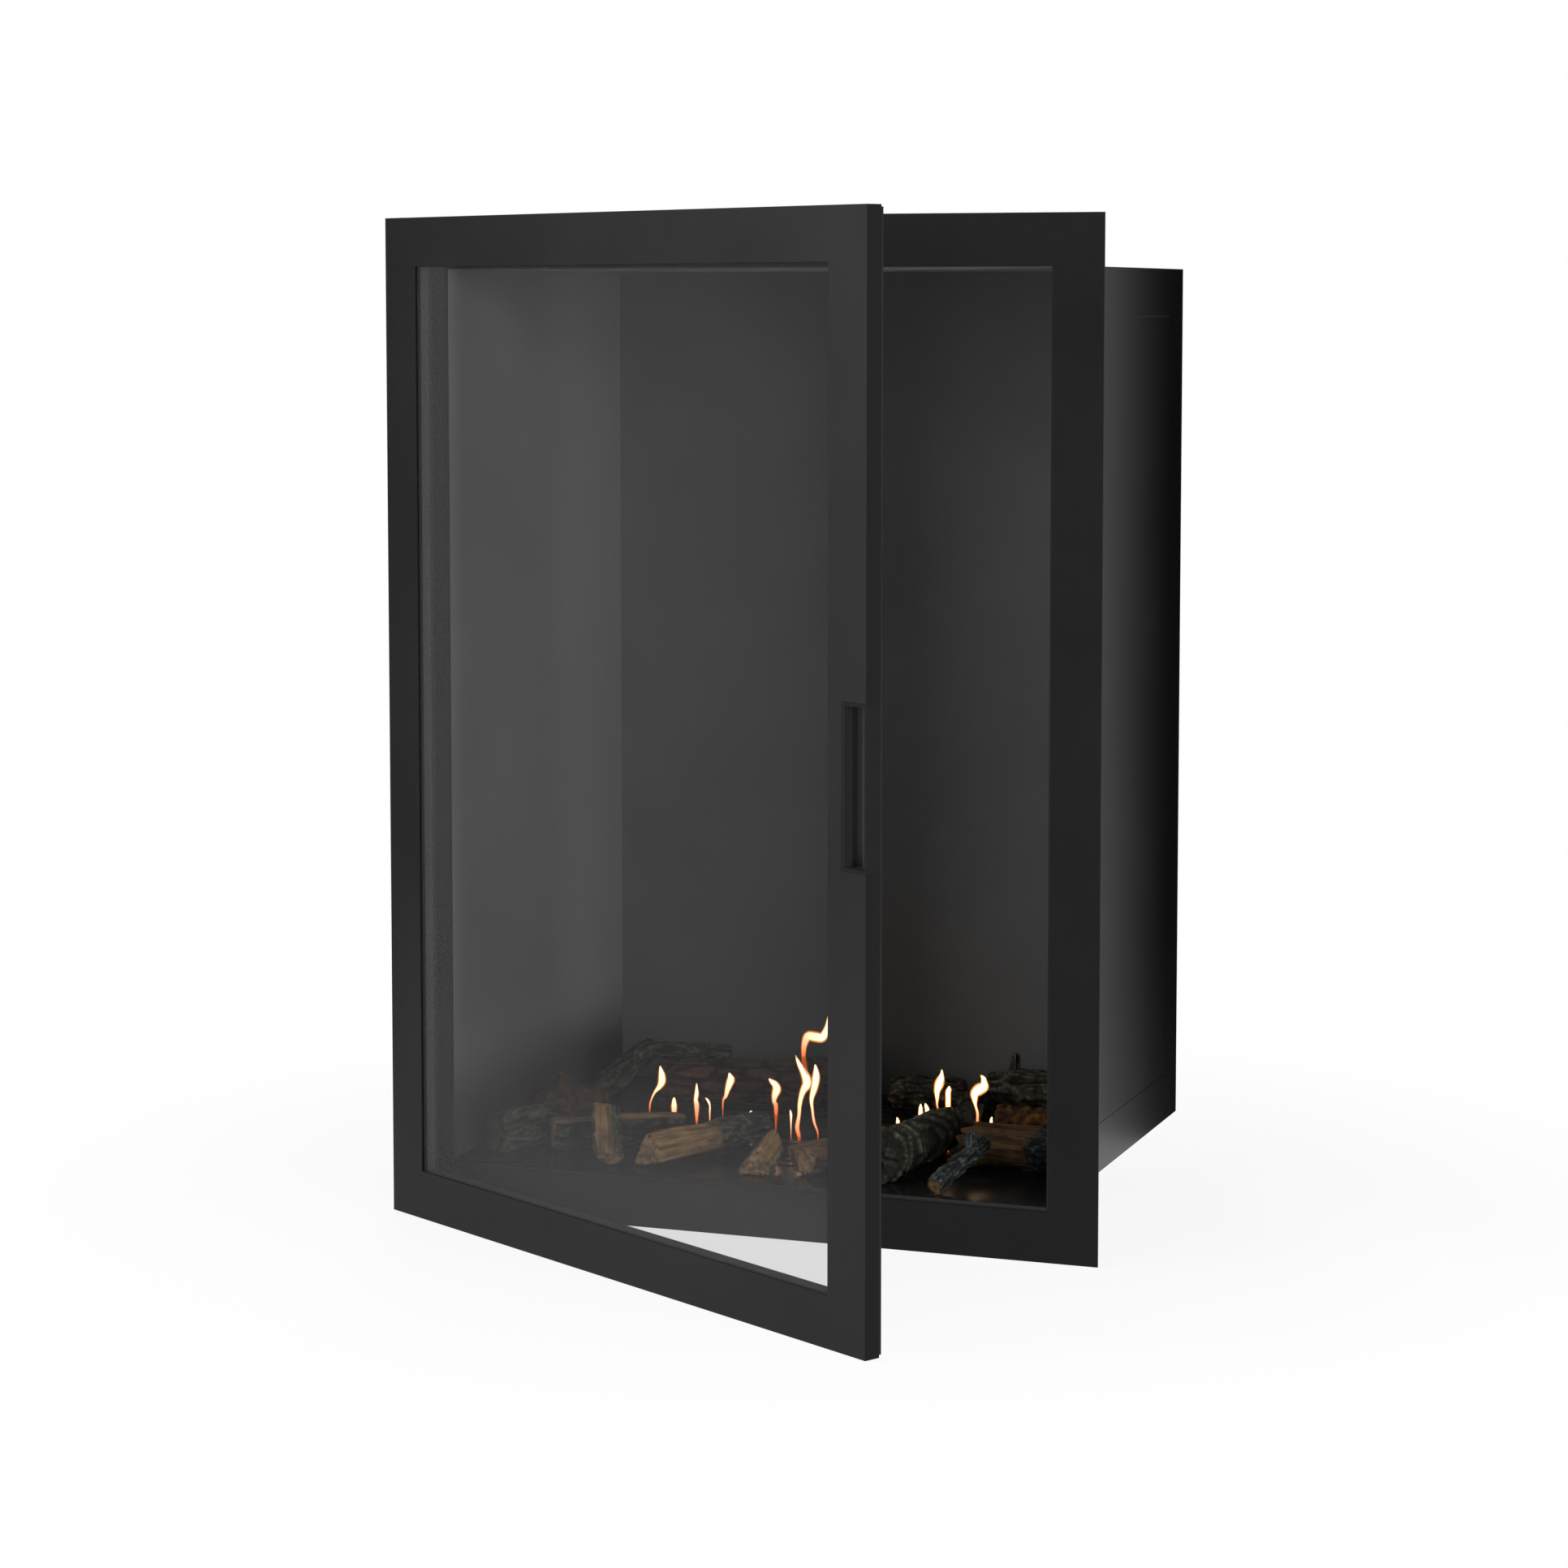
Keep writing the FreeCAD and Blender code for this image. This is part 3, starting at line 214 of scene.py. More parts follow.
def smoked_glass():
    """Float glass, tinted grey and toughened: each face holds back about a sixth of the light.
    Wiping has left a faint haze; the glass is paler along the hinge side and the foot as painted light."""
    material, tree, shader = surface("toughened_glass_grey_float", {
        "Alpha": 0.155, "IOR": 1.5, "Specular IOR Level": 0.03})
    spot = add(tree, "ShaderNodeTexCoord", "Object")
    haze = add(tree, "ShaderNodeTexNoise", "Fac", {"Vector": spot, "Scale": per_mm(WIPED), "Detail": 4.0})
    tone = add(tree, "ShaderNodeValToRGB", "Color", {"Fac": haze}, [(0.3, "#414141"), (0.75, "#474748")])
    along = add(tree, "ShaderNodeVectorMath", "Value", {0: spot, 1: DOOR_ALONG}, operation="DOT_PRODUCT")
    hinge_light = add(tree, "ShaderNodeMapRange", "Result", {
        "Value": along, "From Min": (DOOR_HINGE + HINGE_PAINTED_LIGHT[0]) * MM,
        "From Max": (DOOR_HINGE + HINGE_PAINTED_LIGHT[1]) * MM, "To Min": 1.0, "To Max": 0.0})
    pane_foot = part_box("door_glass")[0].z
    height = add(tree, "ShaderNodeSeparateXYZ", "Z", {"Vector": spot})
    foot = add(tree, "ShaderNodeMapRange", "Result", {
        "Value": height, "From Min": pane_foot + FOOT_PAINTED_LIGHT[0] * MM, "From Max": pane_foot + FOOT_PAINTED_LIGHT[1] * MM,
        "To Min": 1.0, "To Max": 0.0})
    # Painted light: the glass is paler along the hinge side and the foot
    edge_light = add(tree, "ShaderNodeMath", "Value", {0: hinge_light, 1: foot}, operation="MAXIMUM")
    tone = add(tree, "ShaderNodeMix", "Result", {"Factor": edge_light, "A": tone, "B": linear("#6a6a6a")},
               data_type="RGBA")
    smear = add(tree, "ShaderNodeMapRange", "Result", {"Value": haze, "To Min": 0.03, "To Max": 0.09})
    feed(tree, shader, {"Base Color": tone, "Roughness": smear})
    return material


def brushed_metal(name, dark, light, rough, grain, stretch):
    """Bare metal with fine lines or spangle from its making, the paler ones a little duller."""
    material, tree, shader = surface(name, {"Metallic": 1.0})
    spot = add(tree, "ShaderNodeTexCoord", "Object")
    drawn = add(tree, "ShaderNodeMapping", "Vector", {"Vector": spot, "Scale": stretch})
    lines = add(tree, "ShaderNodeTexNoise", "Fac", {"Vector": drawn, "Scale": per_mm(grain), "Detail": 3.0})
    tone = add(tree, "ShaderNodeValToRGB", "Color", {"Fac": lines}, [(0.3, dark), (0.7, light)])
    sheen = add(tree, "ShaderNodeMapRange", "Result", {
        "Value": lines, "To Min": rough - METAL_SHEEN, "To Max": rough + METAL_SHEEN})
    bump = add(tree, "ShaderNodeBump", "Normal", {"Height": lines, "Strength": 0.12, "Distance": 0.1 * MM})
    feed(tree, shader, {"Base Color": tone, "Roughness": sheen, "Normal": bump})
    return material


# Stainless sheet brushed along its length and blackened by heat: lines a millimetre apart, twenty long
stainless = brushed_metal("stainless_steel_blackened", "#2b2a28", "#3d3b38", rough=0.42, grain=1.0,
                          stretch=(0.05, 1.0, 1.0))
# Zinc plate on rolled steel: pale blue grey with a spangle of some 6 mm
zinc = brushed_metal("zinc_plated_steel_rolled", "#8d9095", "#b3b6ba", rough=0.42, grain=6.0,
                     stretch=(1.0, 1.0, 1.0))
# Sintered bronze bush: warm, open-grained
bronze = brushed_metal("bronze_sintered", "#8a6234", "#b98a50", rough=0.45, grain=0.8,
                       stretch=(1.0, 1.0, 1.0))
# Nickel plate over pressed ferrite: soft grey shine
nickel = brushed_metal("nickel_plated_ferrite", "#7d7c78", "#a09e98", rough=0.3, grain=4.0,
                       stretch=(1.0, 1.0, 1.0))

# The grip's moulded grain, its rim that keeps the plain tone, and the depths between which the pocket pales
# as painted light, in mm
GRIP_GRAIN = 0.9
GRIP_RIM = 2.5
POCKET_LIGHT_DEPTHS = (2, 14)


def moulded_grip():
    """ABS moulded in a spark-eroded tool: matt black, finely grained, and paler down the pocket as painted
    light in the recess's shade.
    """
    material, tree, shader = surface("abs_black_moulded", {"Roughness": 0.6, "Specular IOR Level": 0.05})
    spot = add(tree, "ShaderNodeTexCoord", "Object")
    grain = add(tree, "ShaderNodeTexVoronoi", "Distance", {"Vector": spot, "Scale": per_mm(GRIP_GRAIN)})
    tone = add(tree, "ShaderNodeValToRGB", "Color", {"Fac": grain}, [(0.0, "#181818"), (0.8, "#1e1e1e")])
    depth = add(tree, "ShaderNodeVectorMath", "Value", {0: spot, 1: DOOR_INWARD}, operation="DOT_PRODUCT")
    along = add(tree, "ShaderNodeVectorMath", "Value", {0: spot, 1: DOOR_ALONG}, operation="DOT_PRODUCT")
    pocket = add(tree, "ShaderNodeMath", "Value", {0: along, 1: (DOOR_EDGE - GRIP_RIM) * MM},
                 operation="LESS_THAN")
    # Painted light: the pocket is made paler with depth, against the shade in the recess
    paint_and_light = add(tree, "ShaderNodeMapRange", "Result", {
        "Value": depth, "From Min": (DOOR_FACE + POCKET_LIGHT_DEPTHS[0]) * MM, "From Max": (DOOR_FACE + POCKET_LIGHT_DEPTHS[1]) * MM,
        "To Max": pocket})
    tone = add(tree, "ShaderNodeMix", "Result", {"Factor": paint_and_light, "A": tone, "B": linear("#545454")},
               data_type="RGBA")
    bump = add(tree, "ShaderNodeBump", "Normal", {"Height": grain, "Strength": 0.2, "Distance": 0.1 * MM})
    feed(tree, shader, {"Base Color": tone, "Normal": bump})
    return material


# Divides a wave's scale so that each band is a bundle of some four strands
BUNDLE = 6.3
# Size of the fluff against a strand
FLUFF = 1.6


def fibre(name, dark, light, strand):
    """Spun mineral fibre: a soft matt surface of crossing strands."""
    material, tree, shader = surface(name, {
        "Roughness": 0.95, "Sheen Weight": 0.2, "Specular IOR Level": 0.1})
    spot = add(tree, "ShaderNodeTexCoord", "Object")
    warp = add(tree, "ShaderNodeTexWave", "Fac", {
        "Vector": spot, "Scale": per_mm(strand) / BUNDLE, "Distortion": 2.5}, bands_direction="DIAGONAL")
    fluff = add(tree, "ShaderNodeTexNoise", "Fac", {
        "Vector": spot, "Scale": per_mm(strand * FLUFF), "Detail": 4.0})
    both = add(tree, "ShaderNodeMix", "Result", {"Factor": 0.5, "A": warp, "B": fluff})
    tone = add(tree, "ShaderNodeValToRGB", "Color", {"Fac": both}, [(0.25, dark), (0.75, light)])
    bump = add(tree, "ShaderNodeBump", "Normal", {"Height": both, "Strength": 0.5, "Distance": 0.4 * MM})
    feed(tree, shader, {"Base Color": tone, "Normal": bump})
    return material


# Ceramic wool pressed into the burner: off-white, strands drawn at 1.5 mm so that they show
wool = fibre("ceramic_wool_pressed", "#b9b2a4", "#e4dfd3", strand=1.5)
# Knitted glass fibre rope: black with graphite, strands of some 2 mm
rope = fibre("glass_fibre_rope_knitted", "#191919", "#303030", strand=2.2)

# Sizes of the washes, specks and fibre lines painted on the logs, and the height of a speck, in mm
WASH = 26
SPECK = 6
FIBRE_LINE = 5
SPECK_HEIGHT = 1.2
# Draws the fibre lines out along the log
DRAWN_OUT = (0.06, 1.0, 1.0)
# Deepest in the cracks of every bark: the dark wash, and also painted shade in the hollows
CRACK_PAINT_AND_SHADE = "#0b0a09"


def cast_log(name, bark_dark, bark, bark_pale, wood_dark, wood, wood_pale):
    """Refractory ceramic cast in a mould of real wood and painted by hand: dark washes in the cracks, which
    also stand as painted shade there, pale dry brush on the ridges, fibre lines on the split faces. The mesh
    marks what is bark and what is wood."""
    material, tree, shader = surface(name, {"Roughness": 0.88, "Specular IOR Level": 0.16})
    grain = add(tree, "ShaderNodeAttribute", "Vector", attribute_name="grain")
    relief = add(tree, "ShaderNodeAttribute", "Fac", attribute_name="relief")
    peeled = add(tree, "ShaderNodeAttribute", "Fac", attribute_name="wood")
    wash = add(tree, "ShaderNodeTexNoise", "Fac", {
        "Vector": grain, "Scale": per_mm(WASH), "Detail": 5.0, "Roughness": 0.6})
    speck = add(tree, "ShaderNodeTexNoise", "Fac", {
        "Vector": grain, "Scale": per_mm(SPECK), "Detail": 5.0, "Roughness": 0.7})
    drawn = add(tree, "ShaderNodeMapping", "Vector", {"Vector": grain, "Scale": DRAWN_OUT})
    lines = add(tree, "ShaderNodeTexNoise", "Fac", {
        "Vector": drawn, "Scale": per_mm(FIBRE_LINE), "Detail": 5.0, "Roughness": 0.65})
    # The dark crack end of the bark paint is also painted shade in the hollows
    paint_and_light = add(tree, "ShaderNodeMix", "Result", {"Factor": 0.42, "A": relief, "B": speck})
    skin = add(tree, "ShaderNodeValToRGB", "Color", {"Fac": paint_and_light},
               [(0.24, CRACK_PAINT_AND_SHADE), (0.4, bark_dark), (0.57, bark), (0.74, bark_pale)])
    tint = add(tree, "ShaderNodeValToRGB", "Color", {"Fac": wash}, [(0.35, bark_dark), (0.7, bark)])
    outer = add(tree, "ShaderNodeMix", "Result", {"Factor": 0.2, "A": skin, "B": tint}, data_type="RGBA")
    inner = add(tree, "ShaderNodeValToRGB", "Color", {"Fac": lines},
                [(0.36, wood_dark), (0.5, wood), (0.66, wood_pale)])
    patch = add(tree, "ShaderNodeMapRange", "Result", {
        "Value": wash, "From Min": 0.44, "From Max": 0.7, "To Max": 0.85})
    burnt = add(tree, "ShaderNodeMix", "Result", {"Factor": patch, "A": inner, "B": linear(wood_dark)},
                data_type="RGBA")
    tone = add(tree, "ShaderNodeMix", "Result", {"Factor": peeled, "A": outer, "B": burnt}, data_type="RGBA")
    bump = add(tree, "ShaderNodeBump", "Normal", {
        "Height": speck, "Strength": 0.8, "Distance": SPECK_HEIGHT * MM})
    feed(tree, shader, {"Base Color": tone, "Normal": bump})
    return material


# Each paint: bark in its cracks, also painted shade there, on its face and on its ridges, then bare wood from
# dark to pale
LOG_PAINTS = {
    "red_bark": ("#221710", "#3f2d21", "#5a4434", "#3a2a1c", "#6b5238", "#86694a"),
    "grey_bark": ("#1c1b18", "#353430", "#5e5c54", "#3f2f1f", "#755b3d", "#967a55"),
    "blue_bark": ("#131514", "#272a29", "#505555", "#38291a", "#5d482c", "#775e3a"),
    "dark_bark": ("#1a1a16", "#35352d", "#54534a", "#1a1915", "#2b2a23", "#3c3a31"),
    "pale_bark": ("#272520", "#474339", "#77715f", "#3f2f1f", "#755b3d", "#967a55"),
    "brown_split": ("#151819", "#2a2d2e", "#4e5252", "#2e2116", "#523d28", "#6b5136"),
    "rust_bark": ("#281a0d", "#4c3217", "#6b4a24", "#46301a", "#6d4e2a", "#86673d"),
}
LOG_FINISHES = {paint: cast_log("cast_ceramic_" + paint, *colours) for paint, colours in LOG_PAINTS.items()}


def burning(name, root, middle, tip, glow, veil):
    """Alcohol flame: light only, redder at the root, and as solid to the eye as veil says, from 0 to 1."""
    material, tree, shader = surface(name, {})
    tree.nodes.remove(shader)
    rise = add(tree, "ShaderNodeAttribute", "Fac", attribute_name="rise")
    tone = add(tree, "ShaderNodeValToRGB", "Color", {"Fac": rise}, [(0.0, root), (0.4, middle), (0.85, tip)])
    light = add(tree, "ShaderNodeEmission", "Emission", {"Color": tone, "Strength": glow})
    clear = add(tree, "ShaderNodeBsdfTransparent", "BSDF")
    body = add(tree, "ShaderNodeMixShader", "Shader", {0: veil, 1: clear, 2: light})
    feed(tree, tree.nodes["Material Output"], {"Surface": body})
    return material


# Outer flame: orange, thin enough to see through
flame_rim = burning("flame_rim_orange", "#a8300a", "#f27a1a", "#ffb040", glow=1.3, veil=0.55)
# Inner flame: yellow white, too bright to see through
flame_heart = burning("flame_heart_yellow", "#c8500f", "#ffefc4", "#fff8e8", glow=3.6, veil=1.0)


# Carried-over solids: finish, and edges eased as folding, spraying and moulding leave them

FINISHES = {
    "black_coat": powder_coat, "firebox_coat": heat_paint, "deck_coat": deck_paint, "burner_steel": stainless,
    "tinted_glass": smoked_glass(), "ceramic_fibre": wool, "bush_bronze": bronze, "zinc_steel": zinc,
    "plain_steel": primer, "magnet_coat": nickel, "grip_plastic": moulded_grip(),
    "log_ceramic": LOG_FINISHES["grey_bark"],
}
# Nodes with another finish than their slot's
OTHER_FINISHES = {
    "door_seal": rope, "glass_gasket": rope, "front_frame": shaded_frame_coat, "door_frame": door_coat,
    "casing_back": casing_coat, "casing_base": casing_coat, "casing_lid": casing_coat,
    "casing_side_left": casing_coat, "casing_side_right": casing_coat,
    "liner_top": lit_ceiling_paint, "liner_left": side_paint,
}
# Width of each eased edge in mm
EASED = {
    "door_frame": 0.9, "door_back_frame": 0.6, "front_frame": 0.15, "base_well": 0.4, "hearth_deck": 0.7,
    "burner_tank": 0.4, "burner_cover": 0.4, "snuffer_slide": 0.3, "slide_knob": 0.5, "grip_insert": 0.2,
    "door_glass": 0.4, "catch_magnets": 0.5,
}
for part in frame["record"]["subparts"]:
    name = part["node"]
    node = frame["nodes"][name]
    node.data.materials.clear()
    node.data.materials.append(OTHER_FINISHES.get(name, FINISHES[part["material_slot"]]))
    if name in EASED:
        flat = node.modifiers.new("one_face_per_plane", "DECIMATE")
        flat.decimate_type = "DISSOLVE"
        flat.angle_limit = math.radians(1)
        eased = node.modifiers.new("eased_edges", "BEVEL")
        eased.width = EASED[name] * MM
        eased.segments = 2
        eased.limit_method = "ANGLE"
        eased.angle_limit = math.radians(40)
        eased.use_clamp_overlap = False


# Ceramic logs: end outlines of radius one, with the edges between their points that are split wood

OUTLINES = {
    "round": [(1.0, 0.0), (0.9, 0.44), (0.68, 0.78), (0.26, 0.95), (-0.24, 0.99), (-0.66, 0.74), (-0.95, 0.4),
              (-0.97, -0.12), (-0.8, -0.56), (-0.5, -0.88), (0.02, -1.0), (0.5, -0.83), (0.86, -0.46)],
    "split": [(1.12, 0.3), (0.4, 0.42), (-0.36, 0.5), (-1.08, 0.44), (-1.05, -0.1), (-0.78, -0.5),
              (-0.36, -0.78), (0.12, -0.8), (0.6, -0.66), (0.98, -0.26)],
    "wedge": [(1.0, -0.5), (0.5, 0.12), (-0.05, 0.78), (-0.5, 0.92), (-0.86, 0.5), (-0.98, 0.0),
              (-0.86, -0.52), (-0.3, -0.56), (0.4, -0.62)],
}
SPLIT_EDGES = {"round": (), "split": (0, 1, 2), "wedge": (0, 1, 6, 7, 8)}
# Logs whose split faces lie elsewhere on the outline
OTHER_EDGES = {
    "log_front_mid": range(9), "log_front_left": (6, 7, 8), "log_short": (1, 2, 3, 4), "log_far_left": (),
    "log_right_split": (0, 1, 2, 3, 4, 5), "log_upright": (0, 1),
}
# A share past a log's end
NOWHERE = 2
# Each log: outline, end places across and from the wall in mm, radius, shrink, roll, rise, bow,
# paint, relief of its bark, and the share of its length from which bark covers its split faces too
LOGS = {
    "log_back": ("round", (-222, 313), (2, 398), 23.2, 1.1, 20, 0, 3, "red_bark", "plates", NOWHERE),
    "log_rear_mid": ("round", (26, 389), (112, 404), 18.5, 0.94, 0, 0, 2, "pale_bark", "furrows", NOWHERE),
    "log_rear_right": ("round", (134, 408), (286, 420), 20, 1.3, 60, 0, 2, "pale_bark", "furrows", NOWHERE),
    "log_end_on": ("round", (140, 322), (136, 376), 16.5, 1.0, 10, 0, 0, "dark_bark", "furrows", NOWHERE),
    "log_right_rough": ("round", (168, 327), (300, 333), 12.5, 1.0, 40, 0, 1, "rust_bark", "rough", NOWHERE),
    "log_right_split": ("split", (182, 154), (304, 150), 29, 0.98, 12, 0, 2, "brown_split", "furrows", 0.62),
    "log_ringed": ("round", (130, 22), (155, 212), 22.5, 0.84, 30, 0, 2, "dark_bark", "rings", NOWHERE),
    "log_branch": ("round", (199, 12), (226, 94), 10, 0.85, 0, 19, 2, "blue_bark", "furrows", NOWHERE),
    "log_middle": ("split", (47, 46), (106, 172), 22, 0.9, 8, 0, 2, "red_bark", "plates", NOWHERE),
    "log_short": ("wedge", (3, 24), (-2, 84), 21, 0.9, 0, 10, 0, "grey_bark", "furrows", NOWHERE),
    "log_front_mid": ("wedge", (-112, 20), (-42, 170), 24, 0.86, -12, 0, 3, "grey_bark", "furrows", 0.55),
    "log_front_left": ("wedge", (-232, 58), (-118, 136), 24, 0.92, 175, 0, 2, "grey_bark", "plates", NOWHERE),
    "log_upright": ("split", (-150, 14), (-178, 70), 14, 1.0, 20, 32, 1, "grey_bark", "furrows", NOWHERE),
    "log_far_left": ("wedge", (-284, 24), (-250, 104), 25, 0.92, 150, 0, 2, "dark_bark", "furrows", NOWHERE),
    "log_knobbed": ("round", (-296, 172), (-254, 240), 18, 0.95, 15, 0, 2, "red_bark", "rough", NOWHERE),
    "log_bent": ("round", (-283, 314), (-226, 326), 15, 0.86, 0, 39, 0, "dark_bark", "furrows", NOWHERE),
}
# Short knobs: share along the log, height, radius, lean along the log
KNOBS = {
    "log_rear_right": (0.17, 40, 6.5, 0.1), "log_knobbed": (0.42, 36, 6.5, -0.15),
    "log_branch": (0.72, 24, 6.0, 0.5),
}
# A knob's foot against its radius
KNOB_FOOT = 1.2
# Level arms: length, radius
ARMS = {"log_bent": (92, 10.5)}
# How far inside its log's end an arm starts, against the log's radius
ARM_ROOT = 0.6
# Keep the relief of arms and knobs apart from that of the logs
ARM_SEED = 40
KNOB_SEED = 60
# How deep broken ends are torn, in mm; other logs are sawn
TORN = {
    "log_ringed": 16, "log_right_split": 14, "log_short": 5, "log_far_left": 8, "log_rear_mid": 6,
    "log_back": 6,
}
# Logs with bark over their broken ends
BARK_ENDS = ("log_ringed",)
# How a log swells: share of its length, share of its radius
SWELLS = ((0.0, 0.97), (0.22, 1.03), (0.5, 0.97), (0.78, 1.02), (1.0, 0.95))
# Rings of points across an end, as shares of its radius
END_RINGS = (0.86, 0.66, 0.44, 0.22)
# How often an outline is rounded off
ROUNDINGS = 2
# Spacing of the carved points in mm
STEP = 1.7
# How far in from an end its rim is rounded off, and by how much, in mm
RIM = 3.5
RIM_DROP = 1.2
# How much of a log's underside is pressed flat where it rests, in mm
BEDDED = 0.9


def blend_over(value, low, high):
    """A smooth step from 0 at low to 1 at high."""
    share = min(1, max(0, (value - low) / (high - low)))
    return share * share * (3 - 2 * share)


def between(a, b, c, d, t):
    """The point at share t between b and c on the smooth curve through four points."""
    return 0.5 * (2 * b + (c - a) * t + (2 * a - 5 * b + 4 * c - d) * t * t
                  + (3 * b - a - 3 * c + d) * t ** 3)


def drawn_noise(spot, long, wide, aside=0):
    """Noise at a point in mm, in streaks so long along X and so wide across it."""
    return noise.noise(Vector((spot.x / long, spot.y / wide + aside, spot.z / wide)))


def bark_relief(kind, spot):
    """Height of the bark in mm at a point in mm, and its place in the paint, from crack, 0, to ridge, 1.
    What the point is divided by is the size of a pattern in mm."""
    fine = noise.noise(spot / 3.6)
    coarse = noise.noise(spot / 11) + 1.6 * noise.noise(spot / 31)
    if kind == "plates":
        cell, places = noise.voronoi(Vector((spot.x / 44, spot.y / 13, spot.z / 13)))
        plate = blend_over(cell[1] - cell[0], 0.02, 0.24)
        step = noise.noise(places[0] * 3.7)
        height = 2.8 * plate - 2.6 + 1.6 * step + 0.7 * fine + 0.9 * coarse
        return height, 0.2 + 0.5 * plate + 0.25 * fine + 0.15 * step
    if kind == "furrows":
        ridge = 1 - abs(2 * drawn_noise(spot, 24, 5))
        across = blend_over(abs(drawn_noise(spot, 7, 10)), 0.0, 0.14)
        broken = ridge * (0.5 + 0.5 * across)
        return 3.0 * broken - 2.2 + 0.8 * fine + 1.3 * coarse, 0.08 + 0.8 * broken + 0.25 * fine
    if kind == "rings":
        turn = spot.x / 27 + 1.5 * noise.noise(spot / 46) + 0.3 * coarse
        band = turn % 1
        lap = blend_over(band, 0.0, 0.12) * (1 - 0.85 * band)
        lip = blend_over(band, 0.02, 0.08) * (1 - blend_over(band, 0.09, 0.22))
        height = 5.4 * lap - 1.6 + 1.7 * coarse + 1.1 * fine
        return height, 0.16 + 0.25 * lap + 0.36 * lip + 0.35 * fine + 0.12 * coarse
    grit = noise.fractal(spot / 7, 0.9, 2.1, 4)
    return 1.6 * grit - 0.4 + 1.2 * coarse, 0.5 + 0.5 * grit


def wood_relief(spot):
    """Height of a split face in mm, from fibres, torn steps and a few checks, and its place in the paint."""
    strands = drawn_noise(spot, 60, 3.2)
    steps = drawn_noise(spot, 42, 11)
    check = 1 - blend_over(abs(drawn_noise(spot, 95, 10, 7)), 0.0, 0.05)
    return 0.9 * strands + 2.5 * steps - 2.2 * check - 0.8, 0.7 + 0.2 * strands - 0.6 * check


def even_outline(points, split_edges, smooth, spacing):
    """Points at even steps round an outline, each with its outward direction and whether it is split wood."""
    if smooth:
        count = len(points)
        rounder = []
        for i in range(count):
            a, b, c, d = (Vector(points[(i + k) % count]) for k in (-1, 0, 1, 2))
            rounder += [between(a, b, c, d, t) for t in (0, 0.25, 0.5, 0.75)]
        points, split_edges = rounder, ()
    spots = []
    wood = []
    for i, point in enumerate(points):
        start, end = Vector(point), Vector(points[(i + 1) % len(points)])
        pieces = max(1, round((end - start).length / spacing))
        for k in range(pieces):
            spots.append(start.lerp(end, k / pieces))
            wood.append(float(i in split_edges))
    count = len(spots)
    for turn in range(ROUNDINGS):
        spots = [(spots[i - 1] + 2 * spots[i] + spots[(i + 1) % count]) / 4 for i in range(count)]
    ring = []
    for i in range(count):
        run = spots[(i + 2) % count] - spots[i - 2]
        ring.append((spots[i], Vector((run.y, -run.x)).normalized(), wood[i]))
    return ring


